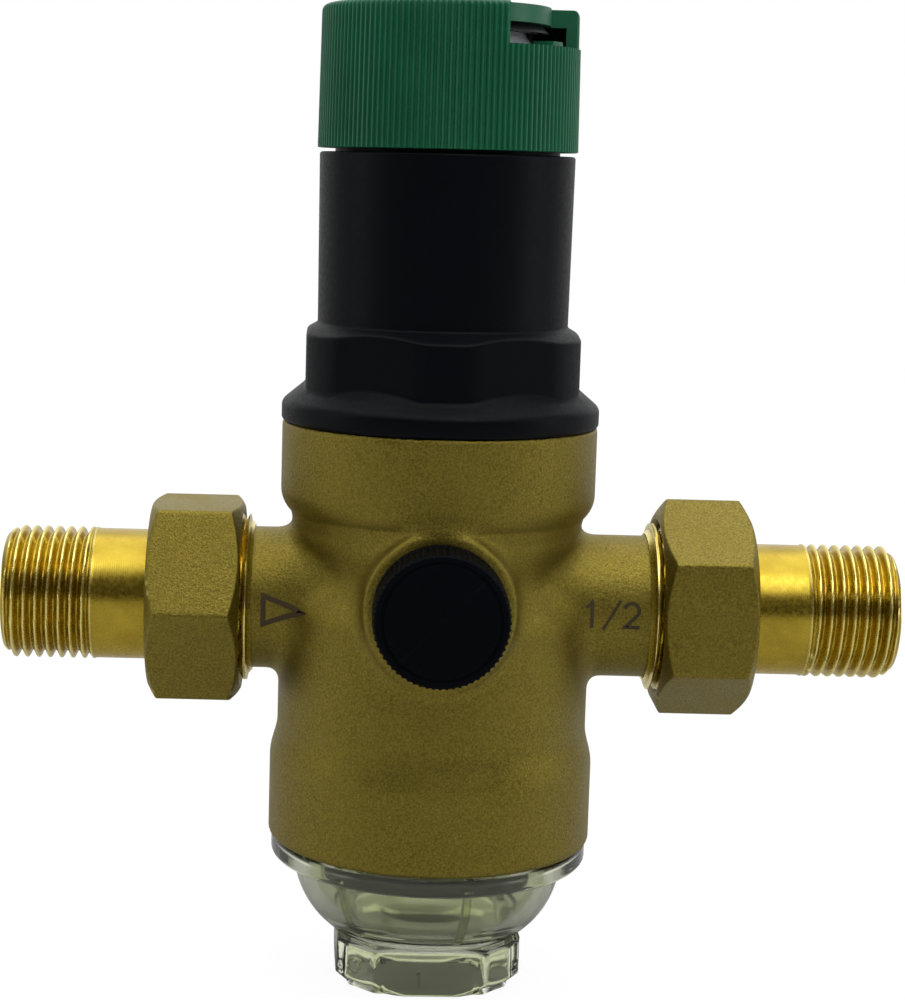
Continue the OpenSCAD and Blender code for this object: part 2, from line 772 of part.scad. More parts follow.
module knob_hub() {
    color(black) on_axis() difference() {
        union() {
            translate([0, 0, dial_top_z])
                cylinder(r1 = hub_top_r + 1, r2 = hub_top_r, h = plate_z - dial_top_z, $fn = fine);
            disc(hub_core_r, dial_z - hub_web_t, dial_top_z);
            disc(knob_inner_r - tab_w - 0.2, dial_z - hub_web_t, dial_z);
            disc(spindle_head_r + 2.2, hub_low_z, dial_z);
        }
        disc(spindle_head_r + seat_gap, hub_low_z - 1, head_end_z);
        disc(screw_hole_r + seat_gap, head_end_z - 1, plate_z + 1);
        disc(screw_head_r + 0.3, plate_z - hub_cap_t, plate_z + 1);
    }
}

// ring with a sloping outer side
module flared_ring(top_r, inner_r) {
    difference() {
        translate([0, 0, dial_z]) cylinder(r1 = top_r + dial_flare, r2 = top_r, h = dial_h, $fn = fine);
        disc(inner_r, dial_z - 1, dial_top_z + 1);
    }
}

module dial_disc() { color(white) on_axis() flared_ring(dial_r - lens_t, hub_core_r + seat_gap); }

module dial_lens() {
    color(clear) on_axis() difference() {
        flared_ring(dial_r, hub_core_r);
        translate([0, 0, dial_z - 0.01])
            cylinder(r1 = dial_r - lens_t + dial_flare + seat_gap, r2 = dial_r - lens_t + seat_gap,
                h = dial_h + 0.02, $fn = fine);
    }
}

module locking_screw() {
    head_t = 2.2;
    low = plate_z - hub_cap_t;
    color(steel) on_axis() difference() {
        union() {
            disc(screw_head_r, low, low + head_t);
            disc(screw_hole_r, head_end_z - screw_len + 1, low + 0.5);
        }
        translate([-screw_head_r - 1, -0.5, low + head_t - 1]) cube([2 * screw_head_r + 2, 1, 2]);
    }
}

// ---- filter and bowl ----

module filter_basket() {
    color(grey) on_axis() {
        difference() {
            union() {
                tube(filter_r, filter_neck_inner, filter_top_z, filter_top_z + 2);
                tube(filter_neck_r, filter_neck_inner, filter_top_z, insert_z - 1.5);
                disc(filter_r, filter_low_z, filter_low_z + cap_t);
                for (i = [0:filter_ribs - 1]) rotate([0, 0, (i + 0.5) * 360 / filter_ribs - 6])
                    translate([filter_r - basket_wall - 0.5, -1.3, filter_low_z])
                        cube([basket_wall + 0.3, 2.6, filter_top_z - filter_low_z + 1]);
            }
            tube(filter_r - basket_wall, filter_r - basket_wall - 1,
                filter_low_z + cap_t - 0.5, filter_top_z);
        }
    }
}

module filter_mesh() {
    color(steel) on_axis()
        tube(filter_r - basket_wall - seat_gap, filter_r - basket_wall - 0.5,
            filter_low_z + cap_t - 0.5, filter_top_z);
}

// half of the bowl's section, grown outward from its inner side
module bowl_section(inset, low) {
    centre = bowl_r - bowl_round;
    r = bowl_round - inset;
    drop = min(flange_z - low, r * 0.95);
    polygon(concat([[0, low], [0, flange_z + 1], [bowl_r - inset, flange_z + 1]],
        arc(centre, flange_z, r, 0, -asin(drop / r), 10), [[0, flange_z - drop]]));
}

// square with its corners cut, across the flats by the width of a flat
module foot_outline(af, flat) {
    a = af / 2;
    b = flat / 2;
    polygon([[a, -b], [a, b], [b, a], [-b, a], [-a, b], [-a, -b], [-b, -a], [b, -a]]);
}

module foot() {
    corner = norm([foot_af, foot_flat]) / 2;
    round_r = corner - 0.7;
    rotate([0, 0, foot_turn]) difference() {
        intersection() {
            linear_extrude(foot_h + 0.5) foot_outline(foot_af, foot_flat);
            rotate_extrude($fn = fine)
                polygon([[0, 0], [foot_af / 2 - 0.6, 0], [foot_af / 2 + 0.4, 1.2], [round_r, 2.4],
                    [round_r, foot_h + 0.5], [0, foot_h + 0.5]]);
        }
        translate([0, 0, -1]) linear_extrude(foot_h)
            foot_outline(foot_af - 2 * foot_wall, foot_flat - foot_wall);
    }
}

module filter_bowl() {
    floor_z = foot_h + bowl_floor;
    color(clear) on_axis() {
        difference() {
            union() {
                rotate_extrude($fn = fine) bowl_section(0, foot_h);
                disc(foot_af / 2 + 1.3, foot_h, foot_h + 0.9);
                translate([0, 0, flange_z]) rotate_extrude($fn = fine)
                    polygon(concat([[0, 0]], arc(bowl_flange_r - 1, 1, 1, -90, 0, 6),
                        [[bowl_flange_r, bowl_flange_t - 0.2], [bowl_flange_r - 0.2, bowl_flange_t],
                        [0, bowl_flange_t]]));
                disc(collar_r, body_z - 1, collar_z);
            }
            rotate_extrude($fn = fine) bowl_section(bowl_wall, floor_z);
            disc(collar_inner_r, flange_z, collar_z + 1);
            tube(collar_r + 1, bowl_ring_r - bowl_ring_d / 2 - seat_gap,
                bowl_ring_z - bowl_ring_d / 2 - 0.1, bowl_ring_z + bowl_ring_d / 2 + 0.1);
        }
        // ribs inside the bowl, under the filter
        intersection() {
            difference() {
                rotate_extrude($fn = fine) bowl_section(bowl_wall - 0.5, floor_z - 0.5);
                disc(filter_r - 4.5, 0, flange_z);
            }
            for (i = [0:bowl_ribs - 1]) rotate([0, 0, i * 360 / bowl_ribs - 62])
                translate([0, -bowl_rib_t / 2, floor_z - 0.5])
                    cube([bowl_r, bowl_rib_t, filter_low_z - free_gap - floor_z + 0.5]);
        }
        foot();
    }
}

module bowl_oring() { color(rubber) on_axis() oring(bowl_ring_r, bowl_ring_d, bowl_ring_z); }

// ---- unions ----

// places a piece whose length runs up +Z from the middle onto the pipe
module along_pipe(side) { translate([0, 0, axis_z]) rotate([0, side * 90, 0]) children(); }

module tailpiece(side) {
    color(bright_brass) along_pipe(side) rotate_extrude($fn = fine)
        polygon([[bore_r, tail_face], [tail_collar_r - 0.4, tail_face], [tail_collar_r, tail_face + 0.4],
            [tail_collar_r, lip_x - 0.3], [tail_collar_r - 0.3, lip_x], [barrel_r, lip_x],
            [barrel_r, pipe_thread_x], [pipe_thread_r, pipe_thread_x + 0.2],
            [pipe_thread_r, tail_end - 1], [pipe_thread_r - 1, tail_end], [bore_r + 0.5, tail_end],
            [bore_r, tail_end - 0.5]]);
}

module union_washer(side) {
    color(rubber) along_pipe(side) difference() {
        translate([0, 0, port_end]) cylinder(r = tail_collar_r, h = washer_t, $fn = fine);
        translate([0, 0, port_end - 1]) cylinder(r = bore_r + 0.3, h = washer_t + 2, $fn = fine);
    }
}

module union_nut(side, turn) {
    color(brass) along_pipe(side) difference() {
        translate([0, 0, nut_in]) rotate([0, 0, 180 - side * turn - 90 * (side + 1)])
            rotate([0, 0, 90]) hex_block(nut_af, nut_len, 1);
        translate([0, 0, nut_in - 1]) cylinder(r = nut_bore_r, h = port_end - nut_in + 1, $fn = fine);
        translate([0, 0, port_end - 1]) cylinder(r = nut_relief_r, h = lip_x - port_end + 1, $fn = fine);
        translate([0, 0, lip_x - 1]) cylinder(r = nut_hole_r, h = nut_lip + 2, $fn = fine);
        translate([0, 0, nut_in - 0.01])
            cylinder(r1 = nut_bore_r + nut_lead, r2 = nut_bore_r, h = nut_lead, $fn = fine);
    }
}

module inlet_tailpiece() { tailpiece(-1); }
module outlet_tailpiece() { tailpiece(1); }
module inlet_washer() { union_washer(-1); }
module outlet_washer() { union_washer(1); }
module inlet_nut() { union_nut(-1, inlet_nut_turn); }
module outlet_nut() { union_nut(1, outlet_nut_turn); }

// ---- gauge plugs ----

// places a piece whose length runs up +Z from the bonnet's axis into a gauge port
module in_gauge_port(side) {
    on_axis() translate([gauge_shift, 0, gauge_z]) rotate([-side * 90, 0, 0]) children();
}

module gauge_plug(side) {
    face = plug_low + plug_head;
    color(black) in_gauge_port(side) difference() {
        union() {
            disc(gauge_thread_r, boss_face - plug_thread_len, plug_low + 1);
            disc(plug_r - 0.1, plug_low, plug_low + plug_rim_t);
            intersection() {
                translate([0, 0, plug_low]) linear_extrude(plug_head)
                    ribbed_outline(plug_r, serration, plug_teeth);
                rotate_extrude($fn = fine)
                    polygon(concat([[0, plug_low], [plug_r, plug_low]],
                        arc(plug_r - plug_round, face - plug_round, plug_round, 0, 90, 6), [[0, face]]));
            }
        }
        tube(plug_ring_r + plug_ring_d / 2 + 0.1, plug_ring_r - plug_ring_d / 2 - 0.1,
            plug_low - 1, boss_face + plug_ring_d + seat_gap);
        // shallow ring on the face
        tube(plug_r * 0.86, plug_r * 0.83, face - 0.3, face + 1);
    }
}

module plug_oring(side) {
    color(rubber) in_gauge_port(side)
        oring(plug_ring_r, plug_ring_d, boss_face + plug_ring_d / 2 + seat_gap);
}

module front_plug() { gauge_plug(-1); }
module back_plug() { gauge_plug(1); }
module front_plug_oring() { plug_oring(-1); }
module back_plug_oring() { plug_oring(1); }

body();
bonnet();
slip_ring();
diaphragm();
valve_insert();
insert_oring();
valve_stem();
diaphragm_plate();
spring_cup();
stem_top_nut();
disc_holder();
valve_disc();
stem_lower_nut();
adjusting_spring();
spring_nut();
spindle();
retaining_ring();
knob();
knob_hub();
dial_disc();
dial_lens();
locking_screw();
filter_basket();
filter_mesh();
filter_bowl();
bowl_oring();
inlet_tailpiece();
inlet_washer();
inlet_nut();
outlet_tailpiece();
outlet_washer();
outlet_nut();
front_plug();
front_plug_oring();
back_plug();
back_plug_oring();
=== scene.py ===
import math

import bpy
import bmesh
import numpy as np
from mathutils import Matrix, Vector


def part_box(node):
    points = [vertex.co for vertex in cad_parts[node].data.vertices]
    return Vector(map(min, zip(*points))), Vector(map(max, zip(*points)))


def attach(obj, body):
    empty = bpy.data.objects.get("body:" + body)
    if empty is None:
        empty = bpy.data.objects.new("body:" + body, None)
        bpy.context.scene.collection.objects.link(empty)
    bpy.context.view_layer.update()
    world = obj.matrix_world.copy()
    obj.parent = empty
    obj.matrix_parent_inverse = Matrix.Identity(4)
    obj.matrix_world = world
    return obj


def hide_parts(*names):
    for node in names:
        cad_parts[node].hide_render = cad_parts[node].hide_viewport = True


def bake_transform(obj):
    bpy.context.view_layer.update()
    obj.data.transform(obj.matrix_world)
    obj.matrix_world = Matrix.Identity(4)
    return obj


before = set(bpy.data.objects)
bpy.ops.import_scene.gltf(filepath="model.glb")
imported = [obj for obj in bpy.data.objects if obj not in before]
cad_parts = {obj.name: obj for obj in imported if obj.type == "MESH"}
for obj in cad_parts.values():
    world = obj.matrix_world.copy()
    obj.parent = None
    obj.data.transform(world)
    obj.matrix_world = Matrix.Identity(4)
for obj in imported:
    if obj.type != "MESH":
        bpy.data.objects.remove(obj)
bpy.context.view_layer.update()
mm = 0.001
tau = 2 * math.pi
print("frame loaded:", len(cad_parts), "nodes")


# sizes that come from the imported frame, in millimetres

def span(node):
    low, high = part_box(node)
    return [1000 * v for v in low], [1000 * v for v in high]


bodyLow, bodyHigh = span("body")
knobLow, knobHigh = span("knob")
tailLow, tailHigh = span("outlet_tailpiece")
nutLow, nutHigh = span("outlet_nut")
plugLow, plugHigh = span("front_plug")

stemX = (knobLow[0] + knobHigh[0]) / 2   # the bonnet's axis
pipeZ = (tailLow[2] + tailHigh[2]) / 2   # the waterway's axis
plugX = (plugLow[0] + plugHigh[0]) / 2
plugZ = (plugLow[2] + plugHigh[2]) / 2
headZ = bodyHigh[2]   # the body's upper face, where the bonnet's flange sits
bodyZ = bodyLow[2]       # its lower face, on the bowl's flange
portEnd = bodyHigh[0]
bonnetTop = span("bonnet")[1][2]
bowlTop = span("filter_bowl")[1][2]


# mesh helpers

def linked(name, data):
    made = bpy.data.objects.new(name, data)
    bpy.context.scene.collection.objects.link(made)
    return made


def makeObject(name, verts, faces, body, material, smooth=32):
    mesh = bpy.data.meshes.new(name)
    mesh.from_pydata([tuple(v) for v in np.asarray(verts) * mm], [], faces)
    mesh.update()
    piece = linked(name, mesh)
    mesh.shade_smooth()
    if smooth:
        mesh.set_sharp_from_angle(angle=math.radians(smooth))
    mesh.materials.append(material)
    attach(piece, body)
    return piece


def turned(rings, count, axis, centre, ends="poles"):
    # rings: (height, radius or radii round the turn); ends: poles or closed
    theta = np.arange(count) * tau / count
    verts, faces = [], []
    for height, radius in rings:
        r = np.broadcast_to(np.asarray(radius, float), (count,))
        a, b, h = r * np.sin(theta), r * np.cos(theta), np.full(count, float(height))
        if axis == "z":      # the turn starts at the front and runs towards the outlet
            verts.append(np.stack([a, -b, h], 1))
        elif axis == "x":    # the turn starts at the front and runs upwards, lengths run outward
            verts.append(np.stack([h, -b, a], 1))
        else:                # the turn starts at the outlet side and runs upwards
            verts.append(np.stack([b, h, a], 1))
    points = np.concatenate(verts) + np.asarray(centre, float)
    total = len(rings)
    rows = total if ends == "closed" else total - 1
    for row in range(rows):
        here, there = row * count, (row + 1) % total * count
        for i in range(count):
            j = (i + 1) % count
            faces.append((here + i, here + j, there + j, there + i))
    if ends == "poles":
        points = np.concatenate([points, points[:count].mean(0)[None], points[-count:].mean(0)[None]])
        low, high = total * count, total * count + 1
        last = (total - 1) * count
        for i in range(count):
            j = (i + 1) % count
            faces.append((i, low, j))
            faces.append((last + i, last + j, high))
    return points, faces


def outward(piece):
    mesh = bmesh.new()
    mesh.from_mesh(piece.data)
    bmesh.ops.recalc_face_normals(mesh, faces=mesh.faces)
    mesh.to_mesh(piece.data)
    mesh.free()
    return piece


def turnedPiece(name, rings, count, axis, centre, body, material, ends="poles", smooth=32):
    points, faces = turned(rings, count, axis, centre, ends)
    return outward(makeObject(name, points, faces, body, material, smooth))


def softMin(a, b, k):
    h = np.clip(0.5 + 0.5 * (b - a) / k, 0, 1)
    return b + (a - b) * h - k * h * (1 - h)


def softMax(a, b, k):
    return -softMin(-a, -b, k)


def polygonRadius(theta, flats, sharpness=60):
    # radius of a rounded polygon given as (direction, distance) of its flats
    total = sum(np.maximum(np.cos(theta - math.radians(way)), 0) ** sharpness / distance ** sharpness
                for way, distance in flats)
    return total ** (-1 / sharpness)


def roundedCorner(cx, cy, r, start, end, steps=6):
    return [(cx + r * math.cos(math.radians(start + (end - start) * i / steps)),
             cy + r * math.sin(math.radians(start + (end - start) * i / steps))) for i in range(steps + 1)]


def cutAway(piece, cutter):
    cut = piece.modifiers.new("cut", "BOOLEAN")
    cut.operation = "DIFFERENCE"
    cut.solver = "EXACT"
    cut.object = cutter
    applied(piece)
    bpy.data.objects.remove(cutter)


def applied(piece):
    evaluated = piece.evaluated_get(bpy.context.evaluated_depsgraph_get())
    mesh = bpy.data.meshes.new_from_object(evaluated)
    piece.modifiers.clear()
    old = piece.data
    piece.data = mesh
    bpy.data.meshes.remove(old)
    return piece


# shader helpers

def group(name, inputs, outputs):
    tree = bpy.data.node_groups.new(name, "ShaderNodeTree")
    for label, kind, value in inputs:
        socket = tree.interface.new_socket(name=label, in_out="INPUT", socket_type=kind)
        socket.default_value = value
    for label, kind in outputs:
        tree.interface.new_socket(name=label, in_out="OUTPUT", socket_type=kind)
    return tree, tree.nodes.new("NodeGroupInput"), tree.nodes.new("NodeGroupOutput")


def node(tree, kind, settings=None, **links):
    made = tree.nodes.new(kind)
    for key, value in (settings or {}).items():
        if key in made.inputs:
            made.inputs[key].default_value = value
        else:
            setattr(made, key, value)
    for key, source in links.items():
        tree.links.new(source, made.inputs[key])
    return made


def mathNode(tree, operation, a, b=None, clamp=False):
    made = tree.nodes.new("ShaderNodeMath")
    made.operation = operation
    made.use_clamp = clamp
    for index, value in enumerate((a, b)):
        if value is None:
            continue
        if isinstance(value, (int, float)):
            made.inputs[index].default_value = value
        else:
            tree.links.new(value, made.inputs[index])
    return made.outputs[0]


def mixColour(tree, factor, a, b, blend="MIX"):
    made = tree.nodes.new("ShaderNodeMix")
    made.data_type = "RGBA"
    made.blend_type = blend
    for index, value in ((0, factor), (6, a), (7, b)):
        if hasattr(value, "is_linked"):
            tree.links.new(value, made.inputs[index])
        elif index == 0:
            made.inputs[0].default_value = value
        else:
            made.inputs[index].default_value = (*value[:3], 1)
    return made.outputs[2]


def ramp(tree, value, low, high):
    made = tree.nodes.new("ShaderNodeMapRange")
    tree.links.new(value, made.inputs["Value"])
    made.inputs["From Min"].default_value = low
    made.inputs["From Max"].default_value = high
    made.clamp = True
    return made.outputs["Result"]


def linear(r, g, b):
    return tuple(v / 12.92 / 255 if v <= 10 else ((v / 255 + 0.055) / 1.055) ** 2.4 for v in (r, g, b))


def grainGroup():
    # blasted or moulded grain: a speckle mask, slow patches and a height
    tree, inside, out = group("surfaceGrain",
        [("Scale", "NodeSocketFloat", 3000.0), ("Patches", "NodeSocketFloat", 120.0)],
        [("Speckle", "NodeSocketFloat"), ("Patch", "NodeSocketFloat"), ("Height", "NodeSocketFloat")])
    where = node(tree, "ShaderNodeTexCoord").outputs["Object"]
    fine = node(tree, "ShaderNodeTexNoise", {"Detail": 3.0, "Roughness": 0.65}, Vector=where,
                Scale=inside.outputs["Scale"])
    wide = node(tree, "ShaderNodeTexNoise", {"Detail": 4.0, "Roughness": 0.6}, Vector=where,
                Scale=inside.outputs["Patches"])
    tree.links.new(ramp(tree, fine.outputs["Fac"], 0.35, 0.65), out.inputs["Speckle"])
    tree.links.new(ramp(tree, wide.outputs["Fac"], 0.3, 0.7), out.inputs["Patch"])
    tree.links.new(fine.outputs["Fac"], out.inputs["Height"])
    return tree


def edgeGroup():
    # mask of convex edges, which get a painted highlight
    tree, inside, out = group("edgeHighlight",
        [("Start", "NodeSocketFloat", 0.52), ("Full", "NodeSocketFloat", 0.6)],
        [("Edge", "NodeSocketFloat")])
    shape = node(tree, "ShaderNodeNewGeometry")
    made = tree.nodes.new("ShaderNodeMapRange")
    made.clamp = True
    tree.links.new(shape.outputs["Pointiness"], made.inputs["Value"])
    tree.links.new(inside.outputs["Start"], made.inputs["From Min"])
    tree.links.new(inside.outputs["Full"], made.inputs["From Max"])
    tree.links.new(made.outputs["Result"], out.inputs["Edge"])
    return tree


surfaceGrain = grainGroup()
edgeHighlight = edgeGroup()


def useGroup(tree, which, values):
    made = tree.nodes.new("ShaderNodeGroup")
    made.node_tree = which
    for key, value in values.items():
        made.inputs[key].default_value = value
    return made


def newMaterial(name, settings):
    material = bpy.data.materials.new(name)
    material.use_nodes = True
    tree = material.node_tree
    shader = tree.nodes["Principled BSDF"]
    for key, value in settings.items():
        shader.inputs[key].default_value = (*value, 1) if isinstance(value, tuple) else value
    return material, tree, shader


def bumped(tree, shader, height, strength, distance):
    made = node(tree, "ShaderNodeBump", {"Strength": strength, "Distance": distance}, Height=height)
    tree.links.new(made.outputs["Normal"], shader.inputs["Normal"])
    return made


def roughened(tree, shader, mask, low, spread):
    rough = mathNode(tree, "ADD", mathNode(tree, "MULTIPLY", mask, spread), low)
    tree.links.new(rough, shader.inputs["Roughness"])


castBrassLook = {"base": linear(152, 136, 58), "dark": linear(100, 88, 30), "bright": linear(200, 188, 116),
                 "metallic": 0.92, "rough": 0.4, "roughSpread": 0.14, "grain": 3200.0, "patches": 90.0,
                 "patchShare": 0.35, "edgeFrom": 0.53, "edgeTo": 0.62, "bump": 0.75, "depth": 0.00013}


def castBrass(name, highlightShare):
    look = castBrassLook
    material, tree, shader = newMaterial(name, {"Metallic": look["metallic"]})
    grain = useGroup(tree, surfaceGrain, {"Scale": look["grain"], "Patches": look["patches"]})
    edge = useGroup(tree, edgeHighlight, {"Start": look["edgeFrom"], "Full": look["edgeTo"]})
    speckled = mixColour(tree, grain.outputs["Speckle"], look["dark"], look["base"])
    share = mathNode(tree, "MULTIPLY", grain.outputs["Patch"], look["patchShare"])
    patched = mixColour(tree, share, speckled, look["base"])
    # convex edges are lightened towards the bright colour: a painted highlight
    highlightMask = mathNode(tree, "MULTIPLY", edge.outputs["Edge"], highlightShare)
    tree.links.new(mixColour(tree, highlightMask, patched, look["bright"]), shader.inputs["Base Color"])
    roughened(tree, shader, grain.outputs["Patch"], look["rough"], look["roughSpread"])
    bumped(tree, shader, grain.outputs["Height"], look["bump"], look["depth"])
    return material


turnedBrassLook = {"base": linear(196, 170, 62), "dark": linear(128, 102, 24),
                   "bright": linear(250, 236, 150), "rough": 0.22, "roughSpread": 0.12, "rings": 900.0,
                   "ringBump": 0.12, "ringDepth": 0.00003, "grain": 1500.0, "patches": 160.0, "patchShare": 0.5,
                   "edgeFrom": 0.505, "edgeTo": 0.56}


def turnedBrass(axis):
    look = turnedBrassLook
    material, tree, shader = newMaterial("turnedBrass" + axis.upper(), {"Metallic": 1.0})
    where = node(tree, "ShaderNodeTexCoord").outputs["Object"]
    rings = node(tree, "ShaderNodeTexWave", {"wave_type": "BANDS", "bands_direction": axis.upper(),
                 "Scale": look["rings"], "Distortion": 0.6, "Detail": 2.0, "Detail Scale": 2.0}, Vector=where)
    grain = useGroup(tree, surfaceGrain, {"Scale": look["grain"], "Patches": look["patches"]})
    edge = useGroup(tree, edgeHighlight, {"Start": look["edgeFrom"], "Full": look["edgeTo"]})
    share = mathNode(tree, "MULTIPLY", grain.outputs["Patch"], look["patchShare"])
    base = mixColour(tree, share, look["base"], look["dark"])
    # thread crests and convex edges get a painted highlight in the bright colour
    tree.links.new(mixColour(tree, edge.outputs["Edge"], base, look["bright"]), shader.inputs["Base Color"])
    roughened(tree, shader, grain.outputs["Speckle"], look["rough"], look["roughSpread"])
    bumped(tree, shader, rings.outputs["Fac"], look["ringBump"], look["ringDepth"])
    return material


def mouldedPlastic(name, base, shade, rough, grainScale=1800.0, coat=0.0, highlightColour=None, shine=0.5):
    material, tree, shader = newMaterial(name, {"Coat Weight": coat, "Coat Roughness": 0.25,
                                                "Specular IOR Level": shine})
    grain = useGroup(tree, surfaceGrain, {"Scale": grainScale, "Patches": 70.0})
    colour = mixColour(tree, grain.outputs["Patch"], base, shade)
    # convex edges get a painted highlight in this colour
    if highlightColour:
        edge = useGroup(tree, edgeHighlight, {"Start": 0.52, "Full": 0.6})
        colour = mixColour(tree, mathNode(tree, "MULTIPLY", edge.outputs["Edge"], 0.6), colour, highlightColour)
    tree.links.new(colour, shader.inputs["Base Color"])
    roughened(tree, shader, grain.outputs["Speckle"], rough, 0.1)
    bumped(tree, shader, grain.outputs["Height"], 0.25, 0.00002)
    return material


def clearPlastic(name, tint, rough):
    material, tree, shader = newMaterial(name, {"Transmission Weight": 1.0, "IOR": 1.46, "Base Color": tint})
    grain = useGroup(tree, surfaceGrain, {"Scale": 500.0, "Patches": 60.0})
    roughened(tree, shader, grain.outputs["Patch"], rough, 0.05)
    bumped(tree, shader, grain.outputs["Height"], 0.1, 0.00003)
    return material


def brightSteel():
    material, tree, shader = newMaterial("brightSteel", {"Metallic": 1.0})
    grain = useGroup(tree, surfaceGrain, {"Scale": 2200.0, "Patches": 150.0})
    tone = mixColour(tree, grain.outputs["Patch"], (0.62, 0.62, 0.62), (0.5, 0.5, 0.52))
    tree.links.new(tone, shader.inputs["Base Color"])
    roughened(tree, shader, grain.outputs["Speckle"], 0.25, 0.1)
    bumped(tree, shader, grain.outputs["Height"], 0.1, 0.00001)
    return material


def wovenSteel():
    material, tree, shader = newMaterial("wovenSteel", {"Metallic": 0.9, "Roughness": 0.4})
    where = node(tree, "ShaderNodeTexCoord").outputs["Object"]
    wires = [node(tree, "ShaderNodeTexWave", {"wave_type": "BANDS", "bands_direction": direction,
                  "Scale": 700.0}, Vector=where).outputs["Fac"] for direction in ("Z", "DIAGONAL")]
    height = mathNode(tree, "MAXIMUM", *wires)
    tone = mixColour(tree, height, (0.03, 0.03, 0.03), (0.32, 0.31, 0.29))
    tree.links.new(tone, shader.inputs["Base Color"])
    bumped(tree, shader, height, 0.6, 0.00008)
    return material


brassCast = castBrass("castBrass", 0.0)
# the nuts' convex edges get a painted highlight
brassNut = castBrass("nutBrass", 0.7)
brassTurnedX = turnedBrass("x")
brassTurnedZ = turnedBrass("z")
plasticBlack = mouldedPlastic("bonnetPlastic", linear(2, 5, 12), linear(1, 3, 8), 0.4, 1500.0,
                              highlightColour=linear(16, 21, 30), shine=0.1)
plasticPlug = mouldedPlastic("plugPlastic", linear(3, 5, 11), linear(2, 4, 8), 0.5, 1500.0,
                             highlightColour=linear(12, 15, 24), shine=0.06)
plasticGreen = mouldedPlastic("knobPlastic", linear(20, 112, 76), linear(14, 98, 64), 0.36, 1500.0)
plasticHub = mouldedPlastic("hubPlastic", linear(14, 15, 17), linear(9, 10, 12), 0.4)
plasticDial = mouldedPlastic("dialPlastic", linear(244, 246, 250), linear(234, 238, 244), 0.3, coat=1.0)
plasticBasket = mouldedPlastic("basketPlastic", linear(86, 88, 84), linear(74, 77, 74), 0.5)
rubberBlack = mouldedPlastic("sealRubber", linear(24, 24, 25), linear(18, 18, 19), 0.6)
fibreRed = mouldedPlastic("washerFibre", linear(120, 66, 46), linear(104, 54, 38), 0.7)
etchedBrass = mouldedPlastic("etchedBrass", linear(72, 56, 22), linear(60, 46, 18), 0.6)
steelBright = brightSteel()
steelWoven = wovenSteel()
bowlClear = clearPlastic("bowlClear", (0.74, 0.77, 0.60), 0.05)
lensClear = clearPlastic("lensClear", (0.96, 0.98, 0.97), 0.04)
print("materials made")

nodeMaterials = {
    brassTurnedZ: ["valve_insert", "diaphragm_plate", "disc_holder", "spring_nut", "spindle"],
    steelBright: ["slip_ring", "valve_stem", "spring_cup", "stem_top_nut", "stem_lower_nut",
                  "adjusting_spring", "retaining_ring", "locking_screw"],
    rubberBlack: ["diaphragm", "insert_oring", "valve_disc", "bowl_oring", "front_plug_oring",
                  "back_plug_oring"],
    plasticHub: ["knob_hub"], plasticDial: ["dial_disc"], lensClear: ["dial_lens"],
    plasticBasket: ["filter_basket"], steelWoven: ["filter_mesh"],
    fibreRed: ["inlet_washer", "outlet_washer"]}
for material, names in nodeMaterials.items():
    for name in names:
        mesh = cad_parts[name].data
        if not mesh.materials:
            mesh.materials.append(material)
        for index in range(len(mesh.materials)):
            mesh.materials[index] = material


# brass casting

casting = {"bandR": 25.7, "bandTop": 12.6, "shoulder": 6, "waistR": 24.6, "waistTop": 59.2, "neckR": 21.0,
           "neckZ": 66.2, "neckTop": 72.8, "coreR": 22.6, "headR": 24.75, "headH": 10.7, "headRound": 4.8,
           "portR": 11.2, "flareR": 13.6, "flareFrom": 25.5, "flareTo": 17.2, "flareSoft": 2.6,
           "flarePower": 1.5, "threadRoot": 11.95, "collarFrom": 31.2, "bossR": 11.6, "bossFace": 24.9,
           "blend": 2.2, "bossBlend": 3.0, "bossRound": 1.2, "roundStart": 48, "voxel": 0.42, "rounds": 8,
           "creep": 1.2, "settle": 0.5}

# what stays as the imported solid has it: its seats, its tapped holes and all that is inside
castingKeep = {"skin": 2.8, "seat": 0.8, "portLip": 0.6, "tappedR": 7.2, "tappedFrom": 19, "waterwayR": 8.4,
               "waterwayFrom": 20, "chamberR": 22.35, "bossReach": 14, "bossFrom": 20, "coreR": 20}


def eased(low, high, lowR, highR, steps=8):
    # stations of a smooth step in radius
    return [(low + (high - low) * i / steps, lowR + (highR - lowR) * (1 - math.cos(math.pi * i / steps)) / 2)
            for i in range(steps + 1)]


def trunkRadius(z):
    c = casting
    band = bodyZ + c["bandTop"]
    start = math.radians(c["roundStart"])
    roundZ = headZ - c["headH"]
    low = roundZ - c["headRound"] * math.sin(start)
    edge = c["headR"] - c["headRound"] * (1 - math.cos(start))
    stations = [(0, c["bandR"])] + eased(band, band + c["shoulder"], c["bandR"], c["waistR"])
    stations += eased(c["waistTop"], c["neckZ"], c["waistR"], c["neckR"])
    stations += eased(c["neckZ"] + 0.1, c["neckTop"] - 0.1, c["neckR"], c["coreR"])
    stations += [(max(low, c["neckTop"]), edge)]
    turn = roundedCorner(c["headR"] - c["headRound"], roundZ, c["headRound"], -c["roundStart"], 0, 8)
    stations += [(height, radius) for radius, height in turn[1:]]
    stations.append((headZ + 5, c["headR"]))
    return np.interp(z, [s[0] for s in stations], [s[1] for s in stations])


